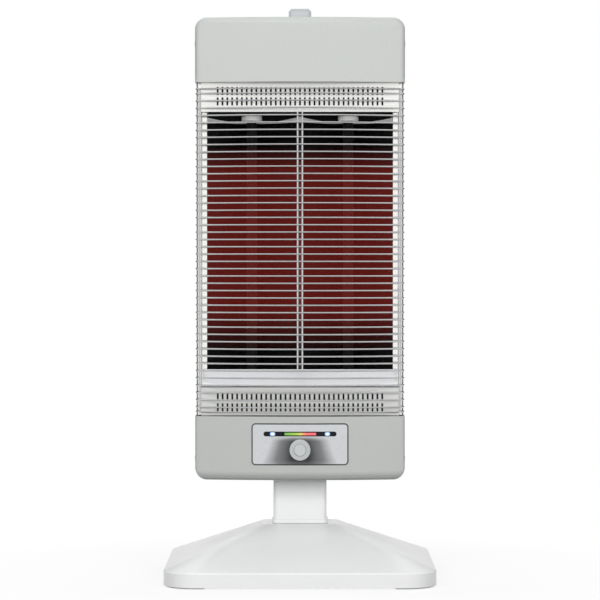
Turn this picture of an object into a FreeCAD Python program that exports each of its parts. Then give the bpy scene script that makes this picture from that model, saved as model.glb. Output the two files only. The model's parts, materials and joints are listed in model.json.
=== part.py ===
"""Floor-standing far-infrared heater: a tilting, swivelling head on a column and a hipped base.

Millimetres. The origin is under the middle of the base, on the floor. +Z is up and the
front of the heater faces -Y. Every size is a cell of the sheet "Sizes".
"""
import FreeCAD, Part
import math
import os
import re

import Sketcher

V = FreeCAD.Vector

# Driving dimensions, in millimetres, degrees or counts
SIZES = {
    # stand
    "base_width": 320.0,
    "base_depth": 316.0,
    "base_corner": 40.0,
    "base_wall": 2.6,
    "base_soft": 2.0,
    "rim_top": 18.6,
    "cover_lift": 1.5,
    "plateau_width": 91.0,
    "plateau_depth": 66.0,
    "plateau_corner": 7.0,
    "plateau_top": 64.0,
    "collar_rise": 4.5,
    "collar_wall": 1.8,
    "plate_thick": 3.0,
    "foot_thick": 2.6,
    "foot_size": 46.0,
    "foot_inset": 3.0,
    "boss_radius": 5.0,
    "boss_inset": 60.0,
    "column_width": 64.0,
    "column_depth": 40.0,
    "column_corner": 6.0,
    "column_wall": 2.4,
    "column_top": 128.0,
    "column_gap": 0.4,
    "pillar_width": 44.0,
    "pillar_depth": 26.0,
    "pillar_wall": 2.0,
    "gland_radius": 4.4,
    "gland_bore": 3.2,
    "gland_height": 11.6,
    "switch_share": 0.3,
    "plunger_radius": 3.0,
    "plunger_reach": 16.0,
    # swivel and tilt
    "shaft_radius": 15.0,
    "shaft_wall": 3.0,
    "housing_wall": 4.0,
    "housing_top": 44.0,
    "thrust_thick": 2.0,
    "ring_thick": 3.0,
    "ring_rim": 5.0,
    "tilt_height": 148.0,
    "fork_depth": 24.0,
    "fork_thick": 3.0,
    "pin_radius": 4.0,
    "pin_head": 3.0,
    "washer_thick": 1.2,
    "ear_thick": 2.5,
    "tilt_back": 15.0,
    "tilt_forward": 5.0,
    # head case
    "head_width": 251.0,
    "head_low": 118.6,
    "head_high": 671.3,
    "head_front": 60.0,
    "head_back": 45.0,
    "head_corner": 14.0,
    "front_roll": 6.5,
    "back_roll": 9.0,
    "case_bulge": 8.5,
    "bulge_reach": 100.0,
    "sheet": 1.2,
    "window_low": 194.9,
    "window_high": 594.0,
    "vent_length": 58.0,
    "vent_height": 5.0,
    "vent_pitch": 13.0,
    "vent_rows": 7,
    "handle_width": 27.6,
    "handle_top": 689.0,
    "handle_low": 596.0,
    "handle_back": 79.0,
    "handle_bar": 11.0,
    "handle_wrap": 20.0,
    # guard
    "wire_radius": 1.0,
    "wire_pitch": 8.73,
    "wire_count": 44,
    "wire_end_step": 5.6,
    "wire_drop": 1.4,
    "guard_bulge": 15.5,
    "guard_reach": 107.0,
    "guard_turn": 6.0,
    "bow_chords": 8,
    "side_rod_radius": 1.75,
    "centre_rod_radius": 1.0,
    "centre_rod_gap": 5.6,
    # heat and reflectors
    "rod_radius": 6.0,
    "mirror_low": 247.0,
    "mirror_high": 554.0,
    "mirror_drop": 6.0,
    "mirror_front": 25.0,
    "mirror_apex": 18.0,
    "mirror_margin": 8.5,
    "mirror_strip": 0.3,
    "mirror_edge": 0.5,
    "mirror_sheet": 1.6,
    "wing_width": 10.0,
    "wing_lap": 5.2,
    "sill_lap": 3.0,
    "collar_radius": 12.5,
    "collar_height": 7.2,
    "collar_over": 2.7,
    "collar_under": 7.0,
    "rod_end": 6.0,
    "stud_length": 11.0,
    "bracket_sheet": 1.5,
    "bracket_reach": 19.5,
    "grate_face": 38.5,
    "grate_margin": 7.0,
    "grate_sheet": 1.0,
    "grate_edge": 35.0,
    "grate_hem": 10.0,
    "slot_width": 2.2,
    "slot_height": 9.6,
    "slot_pitch": 5.8,
    "slot_margin": 39.0,
    "slot_row_step": 12.6,
    "slot_shift": 1.2,
    # chassis
    "spine_half": 42.0,
    "spine_back": 32.0,
    "spine_sheet": 2.0,
    "spine_end": 16.0,
    "flange_end": 30.0,
    "strap_reach": 16.0,
    "strap_height": 20.0,
    "strap_low": 40.0,
    "strap_high": 60.0,
    "spacer_inset": 6.0,
    "shield_sheet": 0.8,
    "shield_margin": 14.0,
    "cutout_radius": 8.0,
    "cutout_height": 7.0,
    "cutout_flange": 11.0,
    "cutout_sheet": 1.5,
    "cutout_drop": 50.0,
    "block_depth": 12.0,
    "block_half": 18.0,
    "block_height": 16.0,
    "block_corner": 1.5,
    "block_pitch": 11.0,
    # controls
    "panel_width": 114.0,
    "panel_height": 48.4,
    "panel_corner": 4.0,
    "panel_rise": 5.05,
    "panel_lip": 4.0,
    "panel_gap": 0.9,
    "gasket_recess": 0.3,
    "panel_thick": 1.6,
    "post_radius": 3.0,
    "post_inset_x": 9.0,
    "post_inset_z": 8.0,
    "display_width": 87.0,
    "display_height": 5.7,
    "display_rise": 12.4,
    "display_thick": 0.8,
    "lamp_thick": 0.3,
    "lamp_width": 6.4,
    "lamp_height": 3.6,
    "lamp_offset": 32.7,
    "bar_height": 3.0,
    "green_width": 21.0,
    "red_width": 16.6,
    "bar_start": -18.4,
    "dial_radius": 12.35,
    "dial_height": 11.0,
    "dial_drop": 6.2,
    "button_radius": 7.1,
    "button_height": 5.0,
    "button_travel": 1.2,
    "button_proud": 0.6,
    "spindle_radius": 3.0,
    "spindle_gap": 4.0,
    "board_gap": 12.0,
    "board_thick": 1.6,
    "board_inset": 2.0,
    "encoder_size": 14.0,
    "encoder_depth": 7.0,
    "encoder_floor": 2.0,
    "encoder_corner": 1.0,
    # fasteners and fits
    "screw_radius": 1.75,
    "screw_head": 3.4,
    "screw_rise": 1.5,
    "side_screw_low": 23.0,
    "side_screw_high": 29.0,
    "side_screw_length": 6.0,
    "rear_screw_low": 45.0,
    "rear_screw_high": 69.0,
    "rear_screw_length": 8.0,
    "fit": 0.05,
    "play": 0.3,
    "cut_over": 1.0,
}

doc = FreeCAD.newDocument("heater")
sheet = doc.addObject("Spreadsheet::Sheet", "Sizes")
for row, (alias, value) in enumerate(SIZES.items(), start=1):
    sheet.set(f"A{row}", alias)
    sheet.set(f"B{row}", str(value))
    sheet.setAlias(f"B{row}", alias)
doc.recompute()

finished = []


def bound(text):
    """An expression written with plain size names, as the sheet's own cells."""
    return re.sub(r"[a-z_]{3,}", lambda word: f"Sizes.{word[0]}" if word[0] in SIZES else word[0], str(text))


def num(text):
    """The present value of such an expression."""
    return float(sheet.evalExpression(bound(text)))


def keep(thing, label):
    """Names a finished sub-part, which names its file."""
    thing.Label = label
    finished.append(thing)
    return thing


# Sketches, pads and pockets
def new_body(name):
    return doc.addObject("PartDesign::Body", name + "_body")


def sketch_on(body, plane, offset, name):
    sketch = body.newObject("Sketcher::SketchObject", name)
    origin_plane = [f for f in body.Origin.OriginFeatures if f.Role == plane + "_Plane"][0]
    sketch.AttachmentSupport = [(origin_plane, "")]
    sketch.MapMode = "FlatFace"
    sketch.setExpression("AttachmentOffset.Base.z", bound(offset))
    return sketch


def datum(sketch, kind, geo, point, text):
    """A signed distance from the sketch's origin, bound to the sheet."""
    index = sketch.addConstraint(Sketcher.Constraint(kind, -1, 1, geo, point, num(text)))
    sketch.setExpression(f"Constraints[{index}]", bound(text))


def draw_box(sketch, left, right, low, high):
    """A plain rectangle."""
    x0, x1, y0, y1 = num(left), num(right), num(low), num(high)
    corners = [V(x0, y0, 0), V(x1, y0, 0), V(x1, y1, 0), V(x0, y1, 0)]
    first = sketch.GeometryCount
    for i in range(4):
        sketch.addGeometry(Part.LineSegment(corners[i], corners[(i + 1) % 4]), False)
    for i in range(4):
        sketch.addConstraint(Sketcher.Constraint("Coincident", first + i, 2, first + (i + 1) % 4, 1))
        kind = "Horizontal" if i % 2 == 0 else "Vertical"
        sketch.addConstraint(Sketcher.Constraint(kind, first + i))
    datum(sketch, "DistanceX", first, 1, left)
    datum(sketch, "DistanceX", first, 2, right)
    datum(sketch, "DistanceY", first, 1, low)
    datum(sketch, "DistanceY", first + 2, 1, high)


def draw_round_box(sketch, left, right, low, high, radius):
    """A rectangle with four equal corner arcs."""
    x0, x1, y0, y1, r = num(left), num(right), num(low), num(high), num(radius)
    sides = [
        (V(x0 + r, y0, 0), V(x1 - r, y0, 0)),
        (V(x1, y0 + r, 0), V(x1, y1 - r, 0)),
        (V(x1 - r, y1, 0), V(x0 + r, y1, 0)),
        (V(x0, y1 - r, 0), V(x0, y0 + r, 0)),
    ]
    centres = [V(x1 - r, y0 + r, 0), V(x1 - r, y1 - r, 0), V(x0 + r, y1 - r, 0), V(x0 + r, y0 + r, 0)]
    quarter = math.pi / 2
    for start, end in sides:
        sketch.addGeometry(Part.LineSegment(start, end), False)
    for i, centre in enumerate(centres):
        circle = Part.Circle(centre, V(0, 0, 1), r)
        sketch.addGeometry(Part.ArcOfCircle(circle, (i - 1) * quarter, i * quarter), False)
    for i in range(4):
        sketch.addConstraint(Sketcher.Constraint("Tangent", i, 2, 4 + i, 1))
        sketch.addConstraint(Sketcher.Constraint("Tangent", 4 + i, 2, (i + 1) % 4, 1))
        sketch.addConstraint(Sketcher.Constraint("Horizontal" if i % 2 == 0 else "Vertical", i))
    for i in range(1, 4):
        sketch.addConstraint(Sketcher.Constraint("Equal", 4, 4 + i))
    index = sketch.addConstraint(Sketcher.Constraint("Radius", 4, r))
    sketch.setExpression(f"Constraints[{index}]", bound(radius))
    datum(sketch, "DistanceX", 3, 1, left)
    datum(sketch, "DistanceX", 1, 1, right)
    datum(sketch, "DistanceY", 0, 1, low)
    datum(sketch, "DistanceY", 2, 1, high)


def draw_circle(sketch, across, up, radius):
    geo = sketch.addGeometry(Part.Circle(V(num(across), num(up), 0), V(0, 0, 1), num(radius)), False)
    datum(sketch, "DistanceX", geo, 3, across)
    datum(sketch, "DistanceY", geo, 3, up)
    index = sketch.addConstraint(Sketcher.Constraint("Radius", geo, num(radius)))
    sketch.setExpression(f"Constraints[{index}]", bound(radius))


def drawn(body, plane, start, end, outline):
    """A sketch with one outline, placed so that a pad runs from start to end on the third axis."""
    offset = f"-({end})" if plane == "XZ" else start
    sketch = sketch_on(body, plane, offset, "outline")
    if len(outline) == 3:
        draw_circle(sketch, *outline)
    elif len(outline) == 5:
        draw_round_box(sketch, *outline)
    else:
        draw_box(sketch, *outline)
    return sketch


def add(body, plane, start, end, outline):
    """Pads an outline: (across, up, radius), (left, right, low, high) or the same with a corner."""
    pad = body.newObject("PartDesign::Pad", "pad")
    pad.Profile = drawn(body, plane, start, end, outline)
    pad.setExpression("Length", bound(f"({end}) - ({start})"))
    doc.recompute()
    return body


def take(body, plane, start, end, outline):
    """Pockets an outline between start and end, and makes sure that it cut something."""
    before = body.Shape.Volume
    pocket = body.newObject("PartDesign::Pocket", "pocket")
    pocket.Profile = drawn(body, plane, start, end, outline)
    pocket.Reversed = True
    pocket.setExpression("Length", bound(f"({end}) - ({start})"))
    doc.recompute()
    if body.Shape.Volume > before - 1e-6:
        raise RuntimeError(f"{body.Label}: a pocket cut nothing")
    return body


def dress_edges(body, kind, size, chosen):
    """A fillet or chamfer on the edges for which chosen(edge) is true."""
    base = body.Tip
    names = [f"Edge{i}" for i, edge in enumerate(base.Shape.Edges, start=1) if chosen(edge)]
    feature = body.newObject(f"PartDesign::{kind}", kind.lower())
    feature.Base = (base, names)
    feature.setExpression("Radius" if kind == "Fillet" else "Size", bound(size))
    doc.recompute()
    return body


def round_edges(body, radius, chosen):
    return dress_edges(body, "Fillet", radius, chosen)


def bevel_edges(body, size, chosen):
    return dress_edges(body, "Chamfer", size, chosen)


def slab(label, plane, start, end, outline):
    """A piece that begins as one padded outline."""
    return keep(add(new_body(label), plane, start, end, outline), label)


def shaped(label, shape):
    """A piece whose shape no standard feature gives."""
    piece = doc.addObject("Part::Feature", label + "_shape")
    piece.Shape = shape
    return keep(piece, label)


def runs_along(edge, axis):
    """True for a straight edge along the axis."""
    if not isinstance(edge.Curve, Part.Line):
        return False
    return abs(abs(edge.Curve.Direction.dot(axis)) - 1) < 1e-6


def lies_at(edge, height):
    """True for an edge that lies level at the height."""
    box = edge.BoundBox
    return abs(box.ZMin - height) + abs(box.ZMax - height) < 0.01


# Levels and places that several pieces share
plate_low = "foot_thick"
plate_top = "(foot_thick + plate_thick)"
slope_run = "((base_depth - plateau_depth) / 2)"
slope_rise = "(plateau_top - rim_top)"
boss_top = f"(rim_top + boss_inset * {slope_rise} / {slope_run} - 1.6 * base_wall)"
boss_x = "(base_width / 2 - boss_inset)"
boss_y = "(base_depth / 2 - boss_inset)"
column_low = "(plateau_top + column_gap)"
shaft_low = f"({plate_top} + thrust_thick)"
deck_low = "(column_top - fork_thick)"
fork_half = "(pillar_width / 2)"
ear_inner = f"({fork_half} + washer_thick + 2 * fit)"
front_wall = "(head_front - sheet)"
spine_front = "(mirror_apex + mirror_sheet + fit)"
panel_back = f"({front_wall} - panel_thick)"
switch_y = "(-base_depth * switch_share)"
mirror_half = "(head_width / 2 - mirror_margin)"
grate_half = "(head_width / 2 - grate_margin)"
trough_half = f"(({mirror_half} - mirror_strip - mirror_edge) / 2)"
trough_depth = "(mirror_apex + mirror_front)"
# Each rod stands in its trough's focus
rod_x = f"(mirror_strip + {trough_half})"
rod_y = f"(mirror_apex - {trough_half} * {trough_half} / (4 * {trough_depth}))"
upper_collar_top = "(mirror_high + collar_over)"
lower_collar_low = "(mirror_low - collar_height - collar_under)"
sill_top = "(mirror_low + sill_lap)"
screw_y = "(-head_front / 6)"
screw_low = "(head_low + side_screw_low)"
screw_high = "(head_high - side_screw_high)"
rear_low = "(head_low + rear_screw_low)"
rear_high = "(head_high - rear_screw_high)"
spacer_x = "(spine_half - spacer_inset)"
panel_middle = "((head_low + window_low) / 2 + panel_rise)"
dial_middle = f"({panel_middle} - dial_drop)"
display_middle = f"({panel_middle} + display_rise)"
dial_front = "(-head_front - dial_height)"
board_front = f"(-{panel_back} + board_gap + fit)"
SIDES = (-1, 1)


def inset_box(width, depth, inset):
    """A centred rectangle, drawn in by inset on each side."""
    return (
        f"-({width} / 2 - ({inset}))",
        f"{width} / 2 - ({inset})",
        f"-({depth} / 2 - ({inset}))",
        f"{depth} / 2 - ({inset})",
    )


# Stand: the hipped cover, its steel plate, feet and screws
def corner_arcs(half_x, half_y, corner, z):
    """The four corner arcs of a rounded rectangle, in order round it."""
    arcs = []
    for i, (x, y) in enumerate(((1, 1), (-1, 1), (-1, -1), (1, -1))):
        circle = Part.Circle(V(x * (half_x - corner), y * (half_y - corner), z), V(0, 0, 1), corner)
        arcs.append(Part.ArcOfCircle(circle, i * math.pi / 2, (i + 1) * math.pi / 2))
    return arcs


def hip(low, high):
    """A hipped solid between two rounded rectangles: flat slopes, and ruled corners along the hips."""
    below, above = corner_arcs(*low), corner_arcs(*high)
    faces = []
    for i in range(4):
        j = (i + 1) % 4
        faces.append(Part.makeRuledSurface(below[i].toShape(), above[i].toShape()))
        corners = [below[i].EndPoint, below[j].StartPoint, above[j].StartPoint, above[i].EndPoint]
        faces.append(Part.Face(Part.makePolygon(corners + corners[:1])))
    for arcs in (below, above):
        edges = [arc.toShape() for arc in arcs]
        edges += [Part.makeLine(arcs[i].EndPoint, arcs[(i + 1) % 4].StartPoint) for i in range(4)]
        faces.append(Part.Face(Part.Wire(Part.__sortEdges__(edges))))
    shell = Part.makeShell(faces)
    shell.sewShape()
    return Part.makeSolid(shell)


def round_prism(half_x, half_y, corner, low, high):
    """An upright prism with rounded corners."""
    block = Part.makeBox(2 * half_x, 2 * half_y, high - low, V(-half_x, -half_y, low))
    return block.makeFillet(corner, [e for e in block.Edges if runs_along(e, V(0, 0, 1))])


def base_form(inset, low, rim, top):
    """The outside of the base, or its hollow when inset is the wall's thickness."""
    half_x, half_y = num("base_width / 2") - inset, num("base_depth / 2") - inset
    deck_x, deck_y = num("plateau_width / 2") - inset, num("plateau_depth / 2") - inset
    corner, deck_corner = num("base_corner") - inset, num("plateau_corner") - inset
    skirt = round_prism(half_x, half_y, corner, low, rim)
    return skirt.fuse(hip((half_x, half_y, corner, rim), (deck_x, deck_y, deck_corner, top)))


def make_base_cover():
    wall, low, rim, top = num("base_wall"), num("cover_lift"), num("rim_top"), num("plateau_top")
    outside = base_form(0, low, rim, top).removeSplitter()
    soft = [e for e in outside.Edges if lies_at(e, rim) or lies_at(e, top)]
    outside = outside.makeFillet(num("base_soft"), soft)
    cover = outside.cut(base_form(wall, low - wall, rim - wall / 2, top - wall))
    foot, head = num(plate_top), num(boss_top)
    bosses, pilots = [], []
    for x in SIDES:
        for y in SIDES:
            place = V(x * num(boss_x), y * num(boss_y), foot)
            bosses.append(Part.makeCylinder(num("boss_radius"), head - foot, place))
            pilots.append(Part.makeCylinder(num("screw_radius + fit"), head - foot - wall, place))
    shaft_hole = Part.makeCylinder(num("shaft_radius + play"), 3 * wall, V(0, 0, top - 2 * wall))
    gland_place = V(0, num("base_depth / 2") - 2 * wall, num("gland_height"))
    gland_hole = Part.makeCylinder(num("gland_radius + fit"), 3 * wall, gland_place, V(0, 1, 0))
    cover = cover.fuse(bosses).cut(pilots + [shaft_hole, gland_hole])
    return shaped("base_cover", cover.removeSplitter())


def make_base_plate():
    outline = (*inset_box("base_width", "base_depth", "base_wall + play"), "base_corner - base_wall - play")
    body = slab("base_plate", "XY", plate_low, plate_top, outline)
    for x in SIDES:
        for y in SIDES:
            place = (f"{x} * {boss_x}", f"{y} * {boss_y}")
            take(body, "XY", plate_low, plate_top, (*place, "screw_radius + play"))
    take(body, "XY", plate_low, plate_top, ("0", switch_y, "plunger_radius + play"))
    return body


def make_feet():
    """Four rubber pads that follow the corners of the base."""
    inset = num("foot_inset")
    half_x = num("base_width") / 2 - inset
    half_y = num("base_depth") / 2 - inset
    size, thick = num("foot_size"), num("foot_thick")
    corner = num("base_corner") - inset
    pad = Part.makeBox(2 * half_x, 2 * half_y, thick, V(-half_x, -half_y, 0))
    upright = [edge for edge in pad.Edges if runs_along(edge, V(0, 0, 1))]
    pad = pad.makeFillet(corner, upright)
    feet = []
    for x in SIDES:
        for y in SIDES:
            left = half_x - size if x > 0 else -half_x
            near = half_y - size if y > 0 else -half_y
            feet.append(pad.common(Part.makeBox(size, size, thick, V(left, near, 0))))
    return shaped("base_feet", Part.makeCompound([foot.Solids[0] for foot in feet]))


def screw(place, direction, length):
    """A pan-head screw: the head stands outside place, the shank runs along direction."""
    shank = Part.makeCylinder(num("screw_radius"), length, place, direction)
    rise, radius = num("screw_rise"), num("screw_head")
    head = Part.makeCylinder(radius, rise, place - direction * rise, direction)
    rim = [e for e in head.Edges if (e.CenterOfMass - place).dot(direction) < -rise / 2 and e.Closed]
    return head.makeChamfer(rise * 0.45, rim).fuse(shank).removeSplitter()


def make_base_screws():
    length = num(f"plate_thick + ({boss_top} - {plate_top}) * 0.6")
    places = [V(x * num(boss_x), y * num(boss_y), num(plate_low)) for x in SIDES for y in SIDES]
    return shaped("base_screws", Part.makeCompound([screw(p, V(0, 0, 1), length) for p in places]))


def make_cord_gland():
    """A flanged rubber bush in the back wall of the base; the cord itself is not part of the model."""
    body = new_body("cord_gland")
    back = "(base_depth / 2)"
    add(body, "XZ", f"{back} - 3 * base_wall", back, ("0", "gland_height", "gland_radius"))
    add(body, "XZ", f"{back} - 3 * base_wall", f"{back} - base_wall - fit",
        ("0", "gland_height", "gland_radius + 0.4 * base_wall"))
    take(body, "XZ", f"{back} - 3 * base_wall", back, ("0", "gland_height", "gland_bore"))
    return keep(body, "cord_gland")


def make_tip_switch():
    """The switch that cuts the power when the heater is lifted or falls over, and its plunger."""
    low, high = plate_top, f"({plate_top} + plunger_reach + 4 * plunger_radius)"
    half = "(2.5 * plunger_radius)"
    outline = (f"-{half} * 1.6", f"{half} * 1.6", f"{switch_y} - {half}", f"{switch_y} + {half}", "play * 3")
    body = slab("tip_switch", "XY", low, high, outline)
    take(body, "XY", low, f"{high} - 2 * plunger_radius", ("0", switch_y, "plunger_radius + play"))
    plunger = new_body("tip_plunger")
    add(plunger, "XY", "0", f"{plate_top} + plunger_reach", ("0", switch_y, "plunger_radius"))
    bevel_edges(plunger, "plunger_radius * 0.6", lambda e: e.Closed and e.CenterOfMass.z < 0.1)
    return keep(plunger, "tip_plunger")


# Swivel: a hollow shaft that turns in a housing on the base plate
def make_swivel():
    housing = new_body("bearing_housing")
    wide = "shaft_radius + fit + housing_wall"
    add(housing, "XY", plate_top, "housing_top", ("0", "0", wide))
    add(housing, "XY", plate_top, f"{plate_top} + housing_wall", ("0", "0", f"{wide} + 3 * housing_wall"))
    take(housing, "XY", plate_top, "housing_top", ("0", "0", "shaft_radius + fit"))
    keep(housing, "bearing_housing")
    washer = slab("thrust_washer", "XY", plate_top, f"{plate_top} + thrust_thick - fit",
                  ("0", "0", "shaft_radius - fit"))
    take(washer, "XY", plate_top, f"{plate_top} + thrust_thick", ("0", "0", "shaft_radius - shaft_wall"))
    shaft = slab("swivel_shaft", "XY", shaft_low, column_low, ("0", "0", "shaft_radius"))
    take(shaft, "XY", shaft_low, column_low, ("0", "0", "shaft_radius - shaft_wall"))
    ring_low = "(housing_top + play)"
    ring_top = f"({ring_low} + ring_thick)"
    ring = slab("retaining_ring", "XY", ring_low, ring_top, ("0", "0", "shaft_radius + ring_rim"))
    take(ring, "XY", ring_low, ring_top, ("0", "0", "shaft_radius + fit"))


# Column: a steel pillar with a fork on top, inside a moulded cover with a flared foot
def make_column():
    cover = new_body("column_cover")
    outside = (*inset_box("column_width", "column_depth", "0"), "column_corner")
    inside = (*inset_box("column_width", "column_depth", "column_wall"), "column_corner - column_wall")
    foot = (*inset_box("column_width", "column_depth", "-collar_wall"), "column_corner + collar_wall")
    add(cover, "XY", column_low, "column_top", outside)
    add(cover, "XY", column_low, f"{column_low} + collar_rise", foot)
    take(cover, "XY", f"{column_low} + fork_thick + 2 * fit", "column_top", inside)
    foot_hole = (*inset_box("column_width", "column_depth", "2 * column_wall"), "column_corner - column_wall")
    take(cover, "XY", column_low, f"{column_low} + fork_thick + 2 * fit", foot_hole)
    collar_top, outside_x = num(f"{column_low} + collar_rise"), num("(column_width + collar_wall) / 2")

    def on_collar(edge):
        return lies_at(edge, collar_top) and max(edge.BoundBox.XMax, -edge.BoundBox.XMin) > outside_x

    round_edges(cover, "collar_wall * 0.6", on_collar)
    keep(cover, "column_cover")
    pillar = new_body("pillar")
    foot_half = "2 * column_wall + fit"
    base = (*inset_box("column_width", "column_depth", foot_half), "column_corner - column_wall")
    add(pillar, "XY", column_low, f"{column_low} + fork_thick", base)
    add(pillar, "XY", column_low, "column_top", inset_box("pillar_width", "pillar_depth", "0"))
    hollow = inset_box("pillar_width", "pillar_depth", "pillar_wall")
    take(pillar, "XY", f"{column_low} + fork_thick", deck_low, hollow)
    take(pillar, "XY", column_low, "column_top", ("0", "0", "shaft_radius - shaft_wall"))
    for x in SIDES:
        left = f"-{fork_half}" if x < 0 else f"{fork_half} - fork_thick"
        cheek = (left, f"{left} + fork_thick", "-fork_depth / 2", "fork_depth / 2")
        add(pillar, "XY", "column_top", "tilt_height + fork_depth / 2", cheek)
    pin_height = num("tilt_height")

    def on_fork_top(edge):
        return runs_along(edge, V(1, 0, 0)) and edge.CenterOfMass.z > pin_height

    round_edges(pillar, "fork_depth * 0.45", on_fork_top)
    reach = f"({fork_half} + cut_over)"
    take(pillar, "YZ", f"-{reach}", reach, ("0", "tilt_height", "pin_radius + fit"))
    keep(pillar, "pillar")


def make_tilt_pin():
    """A shouldered pin through the fork and the ears of the head, with a friction washer on each side."""
    reach = f"({ear_inner} + ear_thick + fit)"
    pin = slab("tilt_pin", "YZ", f"-{reach}", reach, ("0", "tilt_height", "pin_radius"))
    for x in SIDES:
        start = f"-{reach} - pin_head" if x < 0 else reach
        add(pin, "YZ", start, f"{start} + pin_head", ("0", "tilt_height", "pin_radius * 1.7"))
    washers = []
    for x in SIDES:
        place = V(x * num(f"{fork_half} + fit"), 0, num("tilt_height"))
        disc = Part.makeCylinder(num("pin_radius * 2.4"), num("washer_thick"), place, V(x, 0, 0))
        bore = Part.makeCylinder(num("pin_radius + fit"), num("washer_thick"), place, V(x, 0, 0))
        washers.append(disc.cut(bore))
    return shaped("friction_washers", Part.makeCompound([w.Solids[0] for w in washers]))


# Head: bulged front plates share one plan arc
def bow_radius(bulge, reach):
    """The radius of an arc that falls back by bulge at reach from its middle."""
    return (reach ** 2 + bulge ** 2) / (2 * bulge)


CASE_BOW = bow_radius(num("case_bulge"), num("bulge_reach"))
GUARD_BOW = bow_radius(num("guard_bulge"), num("guard_reach"))


def bow_y(x, front, radius):
    """How far back a bowed front, whose middle is at -front, lies at x."""
    return -front + radius - math.sqrt(radius ** 2 - x ** 2)


def bow_block(half, low, high, front, back=None, thick=None):
    """A block with the bulged front, and a flat back at y = back or a parallel one at thick."""
    side = bow_y(half, front, CASE_BOW)
    start, middle, end = V(-half, side, low), V(0, -front, low), V(half, side, low)
    edges = [Part.Arc(start, middle, end).toShape()]
    if thick is None:
        rear = [V(half, back, low), V(-half, back, low)]
        edges += [Part.makeLine(end, rear[0]), Part.makeLine(rear[0], rear[1]), Part.makeLine(rear[1], start)]
    else:
        shift = V(0, thick, 0)
        edges += [Part.makeLine(end, end + shift), Part.makeLine(start + shift, start)]
        edges += [Part.Arc(end + shift, middle + shift, start + shift).toShape()]
    return Part.Face(Part.Wire(Part.__sortEdges__(edges))).extrude(V(0, 0, high - low))


def rounded_plate(half, low, high, front, thick, corner):
    """A thin bulged plate with rounded corners in front view."""
    plate = bow_block(half, low, high, front, thick=thick)
    corners = [e for e in plate.Edges if runs_along(e, V(0, 1, 0)) and abs(abs(e.CenterOfMass.x) - half) < 0.01]
    return plate.makeFillet(corner, corners)


def case_block(low, high, rolled_z, inset):
    """The outside of a front shell, or its hollow when inset is the sheet's thickness."""
    half = num("head_width") / 2 - inset
    block = bow_block(half, low, high, num("head_front") - inset, back=0)
    corner, roll = num("head_corner") - inset, num("front_roll") - inset
    ends = [e for e in block.Edges if runs_along(e, V(0, 1, 0)) and abs(e.CenterOfMass.z - rolled_z) < 0.01]
    block = block.makeFillet(corner, ends)
    open_z = low if abs(high - rolled_z) < 0.01 else high
    front = []
    for edge in block.Edges:
        box = edge.BoundBox
        if box.YMax < -num("mirror_front") and abs(edge.CenterOfMass.z - open_z) > 0.01:
            front.append(edge)
    return block.makeFillet(roll, front)


def front_shell(low, high, rolled_z):
    """A sheet-metal front shell, open at the back and towards the window."""
    sheet_thick = num("sheet")
    up = rolled_z > low
    over = num("cut_over")
    inner_low = low - over if up else low + sheet_thick
    inner_high = high - sheet_thick if up else high + over
    inner_rolled = inner_high if up else inner_low
    hollow = case_block(inner_low, inner_high, inner_rolled, sheet_thick)
    return case_block(low, high, rolled_z, 0).cut(hollow)


def side_holes(z):
    """The holes for the two side screws at height z."""
    half = num("head_width / 2 + cut_over")
    return Part.makeCylinder(num("screw_radius + play"), 2 * half, V(-half, num(screw_y), z), V(1, 0, 0))


# The opening under the head lets the column through over the whole tilt
drop = "(tilt_height - head_low)"
opening_half = "(column_width / 2 + 5 * play)"
opening_front = f"(column_depth / 2 + {drop} * sin(tilt_forward * 1 deg) + 8 * play)"
opening_back = f"(column_depth / 2 + {drop} * sin(tilt_back * 1 deg) + 8 * play)"


def bottom_opening():
    half, front, back = num(opening_half), num(opening_front), num(opening_back)
    low, high = num("head_low - cut_over"), num("head_low + front_roll")
    return Part.makeBox(2 * half, front + back, high - low, V(-half, -front, low))


def make_upper_hood():
    shell = front_shell(num("window_high"), num("head_high"), num("head_high"))
    return shaped("upper_hood", shell.cut(side_holes(num(screw_high))))


def make_lower_panel():
    shell = front_shell(num("head_low"), num("window_low"), num("head_low"))
    half = num("panel_width / 2 + panel_gap")
    low = num(f"{panel_middle} - panel_height / 2 - panel_gap")
    high = num(f"{panel_middle} + panel_height / 2 + panel_gap")
    front, corner = num("head_front + cut_over"), num("panel_corner + panel_gap")
    window = rounded_plate(half, low, high, front, 4 * num("sheet"), corner)
    shell = shell.cut([window, bottom_opening(), side_holes(num(screw_low))])
    return shaped("lower_panel", shell)


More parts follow.
